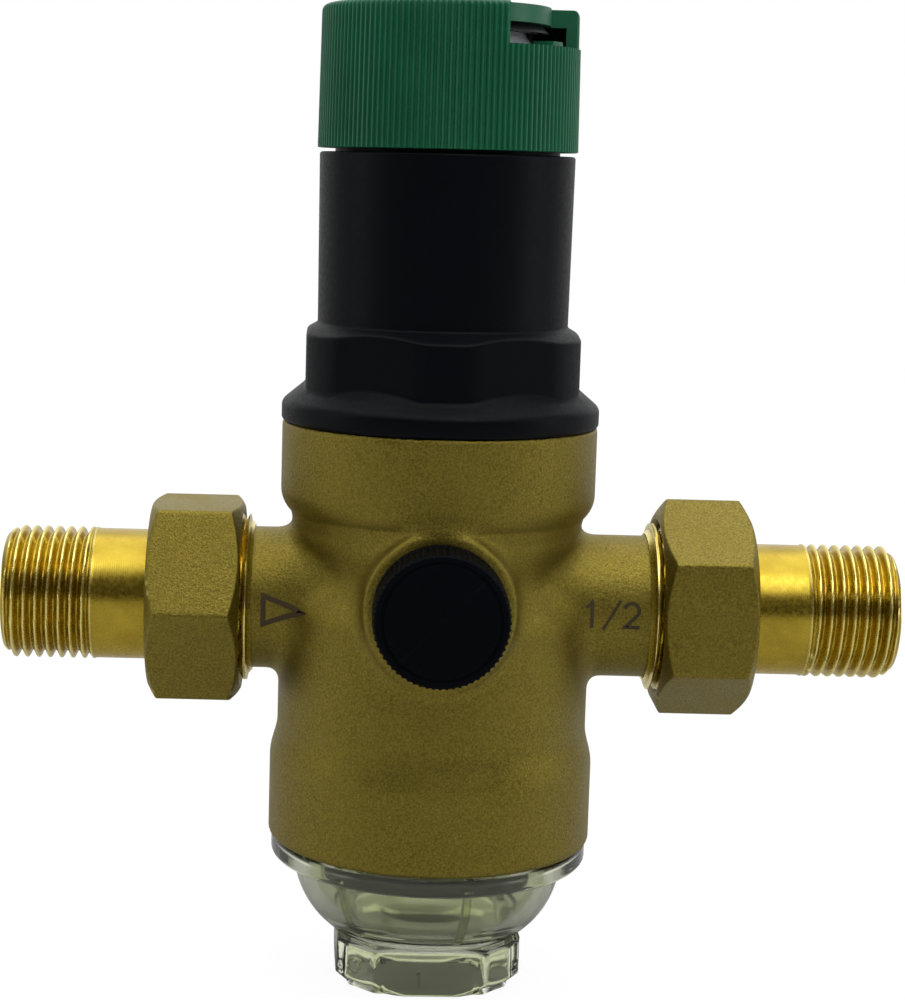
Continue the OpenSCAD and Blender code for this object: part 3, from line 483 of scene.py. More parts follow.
def castingDistance(p, soft=True):
    c = casting
    x, y, z = p[:, 0], p[:, 1], p[:, 2]
    across = np.abs(x - stemX)
    trunk = np.hypot(x - stemX, y) - trunkRadius(z)
    pipe = np.hypot(y, z - pipeZ)
    port = np.maximum(pipe - c["portR"], np.abs(x) - portEnd)
    collar = np.maximum(pipe - c["threadRoot"], c["collarFrom"] - np.abs(x))
    collar = np.maximum(collar, np.abs(x) - portEnd)
    boss = np.maximum(np.hypot(x - plugX, z - plugZ) - c["bossR"], np.abs(y) - c["bossFace"])
    share = np.clip((c["flareFrom"] - across) / (c["flareFrom"] - c["flareTo"]), 0, 1.3)
    flare = pipe - c["portR"] - (c["flareR"] - c["portR"]) * share ** c["flarePower"]
    if not soft:
        flare = np.maximum(np.maximum(flare, c["flareTo"] - across), np.abs(x) - portEnd)
        return np.minimum.reduce([trunk, port, flare, collar, boss])
    # each port flares to a soft rim before it meets the trunk
    flare = softMax(flare, c["flareTo"] - across, c["flareSoft"])
    flare = np.maximum(flare, np.abs(x) - portEnd)
    boss = softMax(np.hypot(x - plugX, z - plugZ) - c["bossR"], np.abs(y) - c["bossFace"], c["bossRound"])
    whole = softMin(trunk, flare, c["blend"])
    whole = softMin(whole, boss, c["bossBlend"])
    return np.minimum(whole, collar)


def castingSlope(p, e=0.02):
    # the distance's gradient over its squared length
    steps = np.eye(3) * e
    g = np.stack([(castingDistance(p + step) - castingDistance(p - step)) / (2 * e) for step in steps], 1)
    return g / np.maximum((g ** 2).sum(1, keepdims=True), 0.3)


def bodyCasting():
    c = casting
    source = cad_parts["body"]
    mesh = source.data.copy()
    mesh.transform(source.matrix_world)
    weld = bmesh.new()
    weld.from_mesh(mesh)
    bmesh.ops.remove_doubles(weld, verts=weld.verts, dist=1e-6)
    weld.to_mesh(mesh)
    weld.free()
    piece = linked("brassCasting", mesh)
    remesh = piece.modifiers.new("even", "REMESH")
    remesh.mode = "VOXEL"
    remesh.voxel_size = c["voxel"] * mm
    applied(piece)
    count = len(piece.data.vertices)
    co = np.empty(count * 3)
    piece.data.vertices.foreach_get("co", co)
    co = co.reshape(-1, 3) * 1000
    x, y, z = co.T
    rho = np.hypot(x - stemX, y)
    pipe = np.hypot(y, z - pipeZ)
    tapped = np.hypot(x - plugX, z - plugZ)
    k = castingKeep
    outer = castingDistance(co, soft=False) > -k["skin"]
    outer &= (z > bodyZ + k["seat"]) & (z < headZ - k["seat"]) & (np.abs(x) < portEnd - k["portLip"])
    outer &= ~((np.abs(y) > k["tappedFrom"]) & (tapped < k["tappedR"]))
    outer &= ~((np.abs(x - stemX) > k["waterwayFrom"]) & (pipe < k["waterwayR"]))
    outer &= (rho > k["chamberR"]) | (tapped < k["bossReach"]) & (np.abs(y) > k["bossFrom"])
    outer &= rho > k["coreR"]
    p = co[outer]
    index = np.full(count, -1)
    index[outer] = np.arange(outer.sum())
    edges = np.empty(len(piece.data.edges) * 2, int)
    piece.data.edges.foreach_get("vertices", edges)
    edges = index[edges.reshape(-1, 2)]
    edges = edges[(edges >= 0).all(1)]
    degree = np.maximum(np.bincount(edges.ravel(), minlength=len(p)), 1)[:, None]
    for step in range(c["rounds"]):
        if step:      # neighbours even out before the next step towards the form
            near = np.zeros_like(p)
            np.add.at(near, edges[:, 0], p[edges[:, 1]])
            np.add.at(near, edges[:, 1], p[edges[:, 0]])
            inside = (degree[:, 0] > 3)[:, None]
            p = np.where(inside, 0.5 * p + 0.5 * near / degree, p)
        p = p - np.clip(castingDistance(p), -c["creep"], c["creep"])[:, None] * castingSlope(p)
    for step in range(3):
        p = p - np.clip(castingDistance(p), -c["settle"], c["settle"])[:, None] * castingSlope(p)
    co[outer] = p
    piece.data.vertices.foreach_set("co", (co * mm).ravel())
    piece.data.update()
    piece.data.shade_smooth()
    piece.data.set_sharp_from_angle(angle=math.radians(40))
    piece.data.materials.clear()
    piece.data.materials.append(brassCast)
    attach(piece, "housing")
    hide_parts("body")
    print("casting:", count, "vertices")
    return piece


bodyCasting()


# threads, tailpieces and union nuts

pipeThread = {"pitch": 1.814, "depth": 1.162, "samples": 14, "round": 160}


def threadRadius(theta, length, crest, depth, pitch, hand=1):
    phase = length / pitch - hand * theta / tau
    saw = np.abs((phase % 1) - 0.5) * 2          # 0 at the crest, 1 at the root
    flank = np.clip((saw - 0.12) / 0.76, 0, 1)
    flank = 0.6 * flank + 0.4 * (0.5 - 0.5 * np.cos(np.pi * flank))
    return crest - depth * flank


def threadRings(side, start, end, crest, step, leadIn=1.2, runOut=1.0):
    theta = np.arange(pipeThread["round"]) * tau / pipeThread["round"]
    rings = []
    for length in np.arange(start, end + step / 2, step):
        fade = min(1, max(0, (length - start) / runOut))
        lead = max(0, (length - (end - leadIn)) / leadIn)
        radius = threadRadius(theta, length, crest, pipeThread["depth"] * fade, pipeThread["pitch"], side)
        limit = crest - pipeThread["depth"] * 1.05 * lead
        rings.append((side * length, np.minimum(radius, limit)))
    return rings


tailpiece = {"face": 41.5, "collar": 45.1, "collarR": 12.0, "barrelR": 10.3, "threadFrom": 56.0,
             "threadR": 10.4775, "boreR": 7.5, "middle": 50}


def tailpiecePiece(side, body, name, cadName):
    t = tailpiece
    end = tailHigh[0]
    step = pipeThread["pitch"] / pipeThread["samples"]
    profile = [(end - 0.5, t["boreR"]), (t["middle"], t["boreR"]), (t["face"], t["boreR"]),
               (t["face"], t["collarR"] - 0.4), (t["face"] + 0.4, t["collarR"]),
               (t["collar"] - 0.3, t["collarR"]), (t["collar"], t["collarR"] - 0.3),
               (t["collar"], t["barrelR"] + 0.01), (t["collar"] + 0.05, t["barrelR"]),
               (t["middle"], t["barrelR"]), (t["threadFrom"] - 0.6, t["barrelR"]),
               (t["threadFrom"] - 0.3, t["barrelR"] + 0.03)]
    rings = [(side * length, radius) for length, radius in profile]
    rings += threadRings(side, t["threadFrom"], end - 0.15, t["threadR"], step)
    rings += [(side * end, t["threadR"] - 1.32), (side * end, t["boreR"] + 0.5)]
    piece = turnedPiece(name, rings, pipeThread["round"], "x", (0, 0, pipeZ), body, brassTurnedX,
                        "closed", 28)
    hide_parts(cadName)
    return piece


portThread = {"from": 31.3, "to": 39.85, "crest": 13.2, "innerR": 11.2}


def portThreadPiece(side, name):
    t = portThread
    step = pipeThread["pitch"] / pipeThread["samples"]
    rings = [(side * t["from"], t["innerR"]), (side * (t["from"] - 0.4), t["crest"] - 1.6),
             (side * (t["from"] + 0.2), t["crest"] - 1.0)]
    rings += threadRings(side, t["from"] + 0.4, t["to"], t["crest"], step, 1.3, 0.7)
    rings += [(side * t["to"], t["innerR"])]
    piece = turnedPiece(name, rings, pipeThread["round"], "x", (0, 0, pipeZ), "housing", brassTurnedX,
                        "closed", 28)
    return piece


unionNut = {"acrossFlats": 30.0, "faceR": 14.62, "chamfer": 29, "chamferLength": 2.6, "boreR": 13.28,
            "reliefR": 12.3, "holeR": 10.6, "lip": 2.0, "lead": 0.7, "round": 360, "soft": 0.35}


def unionNutPiece(side, turn, body, name, cadName):
    n = unionNut
    low, high = nutLow[0], nutHigh[0]
    theta = np.arange(n["round"]) * tau / n["round"]
    flats = [(turn + 60 * i, n["acrossFlats"] / 2) for i in range(6)]
    hexagon = polygonRadius(theta, flats, 90)
    slope = 1 / math.tan(math.radians(n["chamfer"]))
    bevel = np.linspace(0.05, n["chamferLength"], 18)
    rings = []
    for length in np.concatenate([[low], low + bevel, np.linspace(low + 3.2, high - 3.2, 8),
                                  high - bevel[::-1], [high]]):
        cone = n["faceR"] + min(length - low, high - length) * slope
        rings.append((side * length, softMin(hexagon, cone, n["soft"])))
    inner = [(high, n["holeR"]), (high - n["lip"], n["holeR"]), (high - n["lip"], n["reliefR"]),
             (portEnd, n["reliefR"]), (portEnd, n["boreR"]), (low + n["lead"], n["boreR"]),
             (low, n["boreR"] + n["lead"])]
    rings += [(side * length, radius) for length, radius in inner]
    piece = turnedPiece(name, rings, n["round"], "x", (0, 0, pipeZ), body, brassNut, "closed", 40)
    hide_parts(cadName)
    return piece


for side, word, turn in ((-1, "inlet", 29.3), (1, "outlet", 62.8)):
    tailpiecePiece(side, word + "_tail", word + "Tailpiece", word + "_tailpiece")
    portThreadPiece(side, word + "PortThread")
    unionNutPiece(side, turn, word + "_union", word + "UnionNut", word + "_nut")
print("unions made")


# spring bonnet

bonnet = {"flangeR": 24.9, "flangeEdge": 3.0, "flangeRound": 0.6, "flangeSlope": 40, "flangeSoft": 0.7,
          "wrenchH": 15.4, "apothem": 21.15, "cornerR": 22.5, "wrenchSlope": 30, "edge": 0.5, "footSoft": 0.6,
          "towerR": 19.55, "towerTopR": 19.8, "towerH": 41.7, "towerRound": 0.4, "towerSoft": 0.35,
          "neckR": 17.4, "boreR": 16.5, "spindleR": 5.05, "capT": 4.5, "spigotR": 22.0, "spigotH": 4.4,
          "round": 480}


def bonnetPiece():
    b = bonnet
    theta = np.arange(b["round"]) * tau / b["round"]
    hexagon = polygonRadius(theta, [(30 + 60 * i, b["apothem"]) for i in range(6)], 110)
    wrenchTop, towerTop = headZ + b["wrenchH"], headZ + b["towerH"]
    flangeTop = headZ + b["flangeEdge"]
    flangeRun = 1 / math.tan(math.radians(b["flangeSlope"]))
    wrenchRun = 1 / math.tan(math.radians(b["wrenchSlope"]))
    towerRun = (b["towerTopR"] - b["towerR"]) / (towerTop - wrenchTop)
    rim = b["flangeRound"]
    rings = [(headZ - b["spigotH"], b["neckR"]), (headZ - b["spigotH"], b["spigotR"]), (headZ, b["spigotR"]),
             (headZ, b["flangeR"] - rim)]
    rings += [(y, x) for x, y in roundedCorner(b["flangeR"] - rim, headZ + rim, rim, -80, 0, 4)]
    for z in np.linspace(flangeTop - 1.2, wrenchTop + 0.8, 110):
        flange = softMin(b["flangeR"], b["flangeR"] - (z - flangeTop) * flangeRun, b["flangeSoft"])
        wrench = softMin(hexagon, min(b["towerR"] + (wrenchTop - z) * wrenchRun, 40), b["edge"])
        wrench = softMax(softMin(wrench, b["cornerR"], b["edge"]), flange, b["footSoft"])
        rings.append((z, softMax(wrench, b["towerR"] + (z - wrenchTop) * towerRun, b["towerSoft"])))
    for z in np.linspace(wrenchTop + 1.5, towerTop - 0.6, 14):
        rings.append((z, b["towerR"] + (z - wrenchTop) * towerRun))
    rim = b["towerRound"]
    rings += [(y, x) for x, y in roundedCorner(b["towerTopR"] - rim, towerTop - rim, rim, 0, 90, 4)]
    under = bonnetTop - b["capT"]
    rings += [(towerTop, b["neckR"]), (bonnetTop, b["neckR"]), (bonnetTop, b["spindleR"]),
              (under, b["spindleR"]), (under, b["boreR"]), (flangeTop + 1, b["boreR"]),
              (flangeTop, b["neckR"])]
    piece = turnedPiece("springBonnet", rings, b["round"], "z", (stemX, 0, 0), "housing", plasticBlack,
                        "closed", 30)
    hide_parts("bonnet")
    return piece


bonnetPiece()
print("bonnet made")


# knob and its window

knob = {"ribs": 135, "ribDepth": 0.42, "lowR": 20.15, "topR": 19.9, "edge": 1.1, "plate": 2.7,
        "innerR": 17.85, "holeR": 4.4, "windowFrom": 24, "windowTo": 93, "windowDepth": 6.2, "windowR": 15.3,
        "windowSteps": 40}


def ribWave(theta, count):
    phase = (theta * count / tau) % 1
    rise = np.clip((phase - 0.02) / 0.22, 0, 1) - np.clip((phase - 0.5) / 0.22, 0, 1)
    return 1 - rise     # 0 on a rib, 1 in a groove


def knobPiece():
    k = knob
    low, high = knobLow[2], knobHigh[2]
    count = k["ribs"] * 10
    theta = np.arange(count) * tau / count
    groove = ribWave(theta, k["ribs"]) * k["ribDepth"]
    rings = [(low, k["innerR"]), (low, k["lowR"] - 0.25 - groove)]
    for z in np.concatenate([[low + 0.1, low + 0.25], np.linspace(low + 1, high - k["edge"] - 0.2, 12)]):
        t = (z - low) / (high - low)
        rings.append((z, k["lowR"] + (k["topR"] - k["lowR"]) * t - groove))
    for x, y in roundedCorner(k["topR"] - k["edge"], high - k["edge"], k["edge"], 8, 90, 8):
        fade = max(0, 1 - (y - (high - k["edge"])) / k["edge"] * 1.15)
        rings.append((y, x - groove * fade))
    rings += [(high, 15.0), (high, k["holeR"]), (high - k["plate"], k["holeR"]), (high - k["plate"], 12.0),
              (high - k["plate"], k["innerR"])]
    points, faces = turned(rings, count, "z", (stemX, 0, 0), "closed")
    piece = outward(makeObject("ribbedKnob", points, faces, "adjuster", plasticGreen, 38))
    # the window is cut with a wedge
    steps = k["windowSteps"]
    angles = np.radians(np.linspace(k["windowFrom"], k["windowTo"], steps))
    sill, above, outside = high - k["windowDepth"], high + 2, 24
    corners = ((k["windowR"], sill), (outside, sill), (outside, above), (k["windowR"], above))
    wedge = [(stemX + radius * math.sin(a), -radius * math.cos(a), z)
             for radius, z in corners for a in angles]
    sides = []
    for row in range(4):
        here, there = row * steps, (row + 1) % 4 * steps
        sides += [(here + i, here + i + 1, there + i + 1, there + i) for i in range(steps - 1)]
    sides += [tuple(row * steps for row in (3, 2, 1, 0)), tuple(row * steps + steps - 1 for row in range(4))]
    mesh = bpy.data.meshes.new("window")
    mesh.from_pydata([[v * mm for v in spot] for spot in wedge], [], sides)
    cutter = linked("window", mesh)
    outward(cutter)
    bpy.context.view_layer.update()
    cutAway(piece, cutter)
    piece.data.shade_smooth()
    piece.data.set_sharp_from_angle(angle=math.radians(38))
    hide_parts("knob")
    return piece


knobPiece()


indexTab = {"at": 60, "half": 6.5, "width": 3.0, "height": 4.5, "drop": 5.4, "taper": 1.2}


def indexTabPiece():
    # the tab inside the window, against which the dial is read
    t = indexTab
    top = knobHigh[2] - t["drop"]
    verts, steps = [], 6
    for z, inset in ((top - t["height"], 0), (top - 0.3, t["taper"]), (top, t["taper"] + 0.4)):
        for radius in (knob["innerR"] + 0.4, knob["innerR"] - t["width"] + inset / 30):
            for i in range(steps + 1):
                a = math.radians(t["at"] + (i / steps * 2 - 1) * (t["half"] - inset))
                verts.append((radius * math.sin(a), -radius * math.cos(a), z))
    n = steps + 1
    faces = []
    for level in range(2):
        low, high = level * 2 * n, (level + 1) * 2 * n
        for i in range(steps):
            faces.append((low + i, low + i + 1, high + i + 1, high + i))
            faces.append((low + n + i, high + n + i, high + n + i + 1, low + n + i + 1))
        faces.append((low, high, high + n, low + n))
        faces.append((low + steps, low + n + steps, high + n + steps, high + steps))
    for base in (0, 4 * n):
        faces += [(base + i, base + i + 1, base + n + i + 1, base + n + i) for i in range(steps)]
    verts = [(stemX + a, b, c) for a, b, c in verts]
    piece = outward(makeObject("indexTab", verts, faces, "adjuster", plasticGreen, 30))


indexTabPiece()
print("knob made")


# gauge plugs

plug = {"headR": 10.15, "headFrom": 24.95, "teeth": 64, "toothDepth": 0.45, "rim": 1.2, "round": 0.9,
        "ringR": 8.7, "threadR": 6.58, "stemEnd": 17.4, "recessR": 8.78, "recessDepth": 1.8}

# the face dishes towards a small centre hole: (radius, depth)
plugDish = ((7, 0.02), (6, 0.03), (5, 0.05), (4, 0.07), (3, 0.09), (2, 0.11), (1.2, 0.12), (0.7, 0.12),
            (0.4, 0.16), (0.2, 0.25), (0.05, 0.28))


def plugPiece(side, name, cadName, body):
    p = plug
    outer = -plugLow[1]
    low, edge, recess = p["headFrom"], p["headR"] - 0.1, p["headFrom"] + p["recessDepth"]
    count = p["teeth"] * 12
    theta = np.arange(count) * tau / count
    wave = (0.5 - 0.5 * np.cos(theta * p["teeth"])) ** 0.7 * p["toothDepth"]
    profile = [(p["stemEnd"], 0.01), (p["stemEnd"], p["threadR"] - 0.6), (p["stemEnd"] + 0.6, p["threadR"]),
               (recess, p["threadR"]), (recess, p["recessR"]), (low, p["recessR"]), (low, edge - 0.2),
               (low + 0.2, edge), (low + p["rim"], edge), (low + p["rim"] + 0.25, p["headR"] - wave)]
    rings = [(side * length, radius) for length, radius in profile]
    for y in np.linspace(low + 2, outer - p["round"] - 0.1, 6):
        rings.append((side * y, p["headR"] - wave))
    for x, y in roundedCorner(p["headR"] - p["round"], outer - p["round"], p["round"], 5, 90, 7):
        fade = max(0, 1 - (y - (outer - p["round"])) / p["round"] * 1.1)
        rings.append((side * y, x - wave * fade))
    ring = p["ringR"]
    groove = ((ring + 0.25, 0), (ring + 0.12, 0.18), (ring - 0.12, 0.18), (ring - 0.25, 0.01))
    rings += [(side * (outer - dip), radius) for radius, dip in groove + plugDish]
    piece = turnedPiece(name, rings, count, "y", (plugX, 0, plugZ), body, plasticPlug, "poles", 35)
    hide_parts(cadName)
    return piece


plugPiece(-1, "frontPlug", "front_plug", "front_gauge_plug")
plugPiece(1, "backPlug", "back_plug", "back_gauge_plug")
print("plugs made")


# clear filter bowl

bowl = {"footFlat": 14.5, "footCut": 16.69, "footTurn": 2, "footH": 8.0, "footWall": 2.2, "footR": 14.35,
        "footLean": 1.1, "footRound": 1.0, "recess": 7.0, "lipR": 15.8, "arcR": 14.0, "arcCentre": 7.5,
        "flangeUp": 11.5, "flangeR": 25.2, "flangeT": 3.3, "flangeRound": 1.0, "collarR": 21.5, "wall": 2.4,
        "round": 288}


def bowlPiece():
    b = bowl
    theta = np.arange(b["round"]) * tau / b["round"]
    flats = [(b["footTurn"] + 90 * i, b["footFlat"]) for i in range(4)]
    flats += [(b["footTurn"] + 45 + 90 * i, b["footCut"]) for i in range(4)]
    octagon = polygonRadius(theta, flats, 110)
    inner = polygonRadius(theta, [(w, d - b["footWall"]) for w, d in flats], 80)
    flangeZ = b["footH"] + b["flangeUp"]
    bodyFace = flangeZ + b["flangeT"]
    recess, rim, lipZ = b["recess"], b["footRound"], b["footH"] + 0.95
    rings = [(recess, 0.02), (recess, 6.0), (recess - 0.3, inner - 0.4), (recess - 0.8, inner),
             (0.4, inner + 0.15), (0.05, inner + 0.5)]
    for x, y in roundedCorner(0, rim, rim, -90, 0, 5):
        rings.append((y, np.minimum(octagon - rim + x, b["footR"] + y * b["footLean"])))
    for z in np.linspace(1.3, b["footH"] - 0.3, 10):
        rings.append((z, np.minimum(octagon, b["footR"] + z * b["footLean"])))
    rings += [(b["footH"], octagon + 0.05), (b["footH"], b["lipR"] - 0.35),
              (b["footH"] + 0.15, b["lipR"] - 0.05), (b["footH"] + 0.5, b["lipR"]),
              (b["footH"] + 0.8, b["lipR"] - 0.1), (lipZ, b["lipR"] - 0.5)]
    first = math.degrees(math.asin((flangeZ - lipZ) / b["arcR"]))
    rings += [(y, x) for x, y in roundedCorner(b["arcCentre"], flangeZ, b["arcR"], -first, 0, 20)]
    edge, rim = b["flangeR"], b["flangeRound"]
    rings += [(flangeZ, edge - rim)]
    rings += [(y, x) for x, y in roundedCorner(edge - rim, flangeZ + rim, rim, -80, 0, 5)]
    rings += [(bodyFace - 0.3, edge), (bodyFace, edge - 0.3), (bodyFace, b["collarR"]),
              (bowlTop - 0.3, b["collarR"]), (bowlTop, b["collarR"] - 0.3),
              (bowlTop, b["collarR"] - b["wall"]), (flangeZ, b["collarR"] - b["wall"])]
    floorZ = b["footH"] + b["wall"]
    rInner = b["arcR"] - b["wall"]
    last = math.degrees(math.asin(min(0.95, (flangeZ - floorZ) / rInner)))
    rings += [(max(y, floorZ), x) for x, y in roundedCorner(b["arcCentre"], flangeZ, rInner, -2, -last, 16)]
    rings += [(floorZ, 8.0), (floorZ, 0.02)]
    piece = turnedPiece("clearBowl", rings, b["round"], "z", (stemX, 0, 0), "bowl", bowlClear, "poles", 40)
    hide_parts("filter_bowl")
    return piece


bowlPiece()


bowlRib = {"count": 6, "first": -43, "width": 1.1, "height": 1.0, "sink": 0.3}


def bowlRibs():
    # slim ribs stand on the bowl's inner wall
    r, b = bowlRib, bowl
    flangeZ = b["footH"] + b["flangeUp"]
    floorZ = b["footH"] + b["wall"]
    radius = b["arcR"] - b["wall"]
    last = math.degrees(math.asin((flangeZ - floorZ) / radius))
    arc = roundedCorner(b["arcCentre"], flangeZ, radius + r["sink"], -last, -1, 12)
    verts, faces = [], []
    for k in range(r["count"]):
        turn = math.radians(r["first"] + 360 / r["count"] * k)
        out = np.array([math.sin(turn), -math.cos(turn)])
        side = np.array([math.cos(turn), math.sin(turn)])
        first = len(verts)
        for x, z in arc:
            for inward, across in ((0, -1), (0, 1), (r["height"], 1), (r["height"], -1)):
                spot = out * (x - inward) + side * across * r["width"] / 2
                verts.append((stemX + spot[0], spot[1], z))
        rows = len(arc)
        for row in range(rows - 1):
            for i in range(4):
                here, there = first + row * 4, first + (row + 1) * 4
                faces.append((here + i, here + (i + 1) % 4, there + (i + 1) % 4, there + i))
        faces.append(tuple(first + i for i in (3, 2, 1, 0)))
        faces.append(tuple(first + (rows - 1) * 4 + i for i in range(4)))
    piece = outward(makeObject("bowlRibs", verts, faces, "bowl", bowlClear, 30))


bowlRibs()


def strokeFaces(count, closed):
    # the sides of a stroke with four points a station, and its two ends where it is open
    faces = []
    for i in range(count if closed else count - 1):
        a, b = i * 4, (i + 1) % count * 4
        faces += [(a + 1, b + 1, b + 3, a + 3), (a, a + 2, b + 2, b),
                  (a, b, b + 1, a + 1), (a + 2, a + 3, b + 3, b + 2)]
    if not closed:
        last = (count - 1) * 4
        faces += [(0, 1, 3, 2), (last, last + 2, last + 3, last + 1)]
    return faces


def raisedLine(name, path, width, depth, place, turn, closed=False):
    # a raised line on an upright face; path is (across, height), the face looks towards turn
    run = [np.array(p, float) for p in path]
    count = len(run)
    verts = []
    out = np.array([math.sin(turn), -math.cos(turn), 0])
    side = np.array([math.cos(turn), math.sin(turn), 0])
    for i, spot in enumerate(run):
        before = run[i - 1] if i or closed else spot
        after = run[(i + 1) % count] if i < count - 1 or closed else spot
        along = (after - before) / np.linalg.norm(after - before)
        across = np.array([-along[1], along[0]]) * width / 2
        for a, h in (spot - across, spot + across):
            for proud in (-0.1, depth):
                verts.append(np.array(place) + side * a + out * proud + np.array([0, 0, h]))
    piece = outward(makeObject(name, verts, strokeFaces(count, closed), "bowl", bowlClear, 30))


footMark = {"numberX": -1.7, "numberZ": 3.0, "half": 1.15, "flagX": 0.45, "flagZ": 0.7, "ringR": 1.1,
            "ringZ": 4.2, "ringSteps": 24, "line": 0.3, "proud": 0.2}


def footMarks():
    # the mould's number on the front flat and a round mark on the flat beside it
    m, front = footMark, math.radians(bowl["footTurn"])
    number = [(m["numberX"] - m["flagX"], m["numberZ"] + m["flagZ"]),
              (m["numberX"], m["numberZ"] + m["half"]), (m["numberX"], m["numberZ"] - m["half"])]
    ring = [(m["ringR"] * math.cos(a), m["ringZ"] + m["ringR"] * math.sin(a))
            for a in np.linspace(0, tau, m["ringSteps"], endpoint=False)]
    for name, turn, flat, path, closed in (
            ("footNumber", front, bowl["footFlat"], number, False),
            ("footRing", front - math.radians(45), bowl["footCut"], ring, True)):
        place = (stemX + flat * math.sin(turn), -flat * math.cos(turn), 0)
        raisedLine(name, path, m["line"], m["proud"], place, turn, closed)


footMarks()
print("bowl made")


# spring and diaphragm

def bendingPiece(name, cadName, keep=None):
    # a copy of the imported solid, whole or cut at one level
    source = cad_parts[cadName]
    mesh = source.data.copy()
    mesh.transform(source.matrix_world)
    if keep:      # one side of a level cut through the piece
        level, side = keep
        cut = bmesh.new()
        cut.from_mesh(mesh)
        bmesh.ops.remove_doubles(cut, verts=cut.verts, dist=1e-7)
        bmesh.ops.bisect_plane(cut, geom=cut.verts[:] + cut.edges[:] + cut.faces[:], dist=1e-8,
                               plane_co=(0, 0, level * mm), plane_no=(0, 0, -side), clear_outer=True)
        bmesh.ops.holes_fill(cut, edges=[edge for edge in cut.edges if edge.is_boundary])
        bmesh.ops.recalc_face_normals(cut, faces=cut.faces)
        cut.to_mesh(mesh)
        cut.free()
    piece = linked(name, mesh)
    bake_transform(piece)
    return piece


springLow, springHigh = span("adjusting_spring")
# the spring is split in two at a share of its height
bending = {"springEnd": 0.6, "webEnd": 0.6, "split": 0.37, "gap": 0.1}
middleZ = springLow[2] + (springHigh[2] - springLow[2]) * bending["split"]
lowerCoils = bendingPiece("lowerCoils", "adjusting_spring",
                          (middleZ, -1))
upperCoils = bendingPiece("upperCoils", "adjusting_spring",
                          (middleZ, 1))
rollingWeb = bendingPiece("rollingDiaphragm", "diaphragm")
for coils in (lowerCoils, upperCoils):
    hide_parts("adjusting_spring")
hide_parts("diaphragm")
print("spring and diaphragm made")


# etched marks on the two ports

etching = {"proud": 0.03, "inset": 0.05, "arrow": 0.8, "digit": 0.56, "slash": 0.448, "step": 0.25,
           "mitre": 0.45, "rounds": 30}


def etchedStroke(points, width, closed=False):
    # a thin inlay that follows the round of the port; points are (length, height above the waterway)
    e = etching
    run = [np.array(p, float) for p in points] + ([np.array(points[0], float)] if closed else [])
    centre = []
    for a, b in zip(run[:-1], run[1:]):
        steps = max(1, int(np.linalg.norm(b - a) / e["step"]))
        centre += [a + (b - a) * i / steps for i in range(steps)]
    if not closed:
        centre.append(run[-1])
    verts = []
    count = len(centre)
    for i, spot in enumerate(centre):
        before = centre[i - 1] if i or closed else spot
        after = centre[(i + 1) % count] if i < count - 1 or closed else spot
        along = (after - before) / max(np.linalg.norm(after - before), 1e-9)
        one = spot - before if i or closed else after - spot
        one = one / max(np.linalg.norm(one), 1e-9)
        across = np.array([-along[1], along[0]]) * width / 2 / max(e["mitre"], abs(float(np.dot(along, one))))
        for x, z in (spot - across, spot + across):
            verts += [(x, z, -e["inset"]), (x, z, e["proud"])]
    return verts, strokeFaces(count, closed)


def etchedMark(name, strokes):
    verts, faces = [], []
    for points, width, closed in strokes:
        more, sides = etchedStroke(points, width, closed)
        faces += [tuple(i + len(verts) for i in side) for side in sides]
        verts += more
    x, z, proud = np.array(verts).T
    spot = np.stack([x, -np.sqrt(casting["portR"] ** 2 - z ** 2), pipeZ + z], 1)
    for step in range(etching["rounds"]):    # down to the casting
        spot[:, 1] += np.clip(castingDistance(spot) - proud, -1, 1)
    outward(makeObject(name, spot, faces, "housing", etchedBrass, 30))


flowArrow = [(-29.0, 2.2), (-29.0, -2.2), (-23.0, 0.1)]
sizeOne = [(20.8, 1.75), (21.4, 2.1), (21.75, 2.55), (21.75, -1.5)]
sizeSlash = [(23.5, -1.75), (26.2, 2.85)]
sizeTwo = roundedCorner(27.9, 1.3, 1.15, 165, -30, 8) + [(26.9, -1.3), (29.2, -1.3)]
etchedMark("flowArrow", [(flowArrow, etching["arrow"], True)])
etchedMark("sizeMark", [(sizeOne, etching["digit"], False), (sizeSlash, etching["slash"], False),
                        (sizeTwo, etching["digit"], False)])
print("marks made")


# light, floor and camera

floorLook = {"reach": 2.5, "low": (0.5, 0.5, 0.5), "high": (0.53, 0.53, 0.53), "glow": 1.12, "share": 0.85}


def addFloor():
    look, reach = floorLook, floorLook["reach"]
    mesh = bpy.data.meshes.new("floor")
    corners = [(-reach, -reach, 0), (reach, -reach, 0), (reach, reach, 0), (-reach, reach, 0)]
    mesh.from_pydata(corners, [], [(0, 1, 2, 3)])
    floor = linked("floor", mesh)
    material, tree, shader = newMaterial("paleFloor", {"Roughness": 0.8, "Specular IOR Level": 0.0})
    grain = useGroup(tree, surfaceGrain, {"Scale": 60.0, "Patches": 4.0})
    tree.links.new(mixColour(tree, grain.outputs["Patch"], look["low"], look["high"]),
                   shader.inputs["Base Color"])
    # the camera finds it near white, and the object's shadow stays
    glow = node(tree, "ShaderNodeEmission", {"Color": (1, 1, 1, 1), "Strength": look["glow"]})
    path = node(tree, "ShaderNodeLightPath")
    mix = tree.nodes.new("ShaderNodeMixShader")
    tree.links.new(mathNode(tree, "MULTIPLY", path.outputs["Is Camera Ray"], look["share"]), mix.inputs[0])
    tree.links.new(shader.outputs[0], mix.inputs[1])
    tree.links.new(glow.outputs[0], mix.inputs[2])
    tree.links.new(mix.outputs[0], tree.nodes["Material Output"].inputs["Surface"])
    mesh.materials.append(material)


room = {"back": 0.9, "ceiling": 1.6, "rise": 0.12, "dim": 0.035}   # what reflections find: a dim front


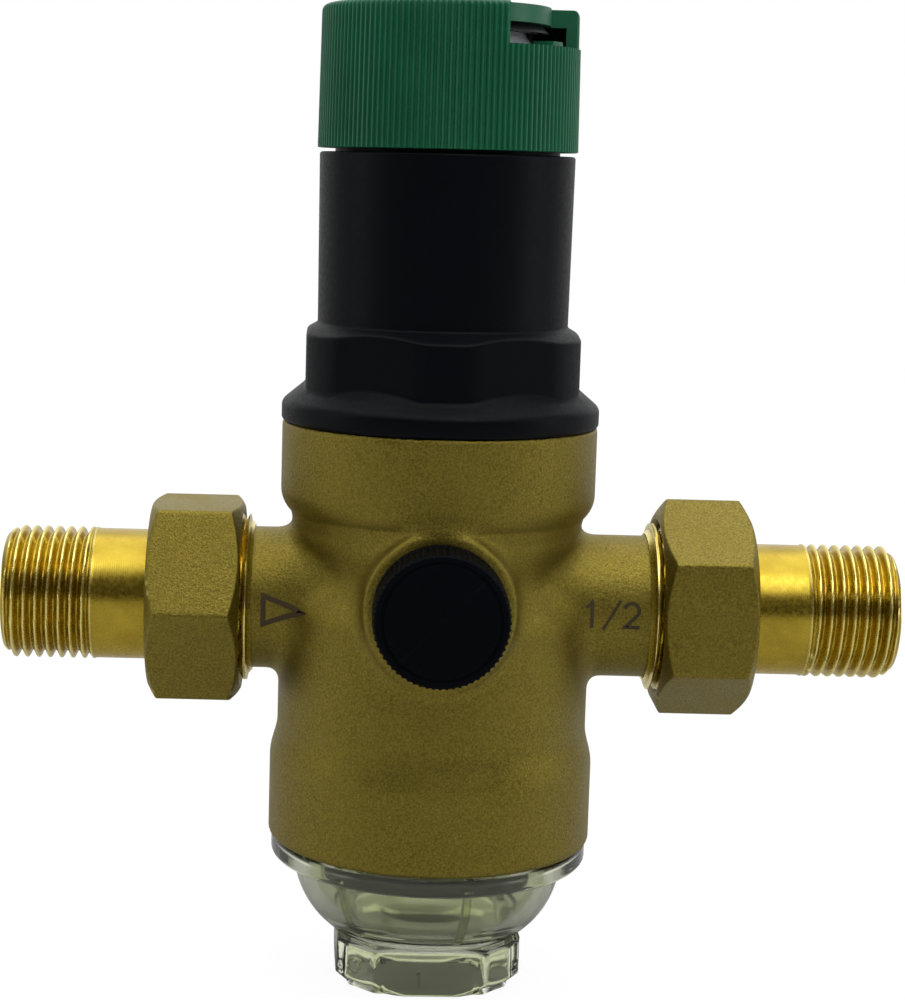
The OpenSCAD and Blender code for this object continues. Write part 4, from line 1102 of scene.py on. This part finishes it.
def addWorld():
    world = bpy.data.worlds.new("studio")
    bpy.context.scene.world = world
    world.use_nodes = True
    tree = world.node_tree
    path = node(tree, "ShaderNodeLightPath")
    where = node(tree, "ShaderNodeTexCoord").outputs["Generated"]
    parts = node(tree, "ShaderNodeSeparateXYZ", Vector=where)
    total = room["dim"]
    for axis, low, high, share in (("Y", 0.25, 0.75, "back"), ("Z", 0.68, 0.88, "ceiling"),
                                   ("Z", 0.0, 0.7, "rise")):
        glow = mathNode(tree, "MULTIPLY", ramp(tree, parts.outputs[axis], low, high), room[share])
        total = mathNode(tree, "ADD", glow, total)
    seen = mathNode(tree, "MAXIMUM", path.outputs["Is Camera Ray"], path.outputs["Is Transmission Ray"])
    tree.links.new(mixColour(tree, seen, total, (1, 1, 1)), tree.nodes["Background"].inputs["Color"])


def addLamp(name, place, target, wide, tall, power):
    data = bpy.data.lights.new(name, "AREA")
    data.shape = "RECTANGLE"
    data.size, data.size_y, data.energy = wide, tall, power
    lamp = linked(name, data)
    lamp.location = place
    lamp.rotation_euler = (Vector(target) - Vector(place)).to_track_quat("-Z", "Y").to_euler()


lamps = {"keySoftbox": ((0.3, -0.6, 0.95), 0.6, 0.6, 1.9), "leftStrip": ((-0.9, -0.1, 0.35), 0.25, 0.9, 1.4),
         "rightStrip": ((0.95, -0.1, 0.3), 0.3, 0.9, 1.8)}   # place, width, height, watts
addFloor()
addWorld()
for name, (place, wide, tall, power) in lamps.items():
    addLamp(name, place, (0, 0, 0.075), wide, tall, power)

cameraSetup = {"place": (-15.14, -347.36, 127.58), "turn": 0.11, "dip": 7.68, "roll": 1.4, "lens": 79.83,
               "shiftX": 0.1005, "shiftY": -0.0273}


def addCamera():
    c = cameraSetup
    data = bpy.data.cameras.new("camera")
    data.lens = c["lens"]
    data.shift_x = c["shiftX"]
    data.shift_y = c["shiftY"]
    data.clip_start = 0.01
    camera = linked("camera", data)
    dip, turn = math.radians(c["dip"]), math.radians(c["turn"])
    ahead = Vector((-math.cos(dip) * math.sin(turn), math.cos(dip) * math.cos(turn), -math.sin(dip)))
    roll = Matrix.Rotation(math.radians(c["roll"]), 4, "Z")
    matrix = ahead.to_track_quat("-Z", "Y").to_matrix().to_4x4() @ roll
    matrix.translation = Vector([v * mm for v in c["place"]])
    camera.matrix_world = matrix
    bpy.context.scene.camera = camera


addCamera()
bpy.context.scene.view_settings.view_transform = "Standard"
print("stage set")
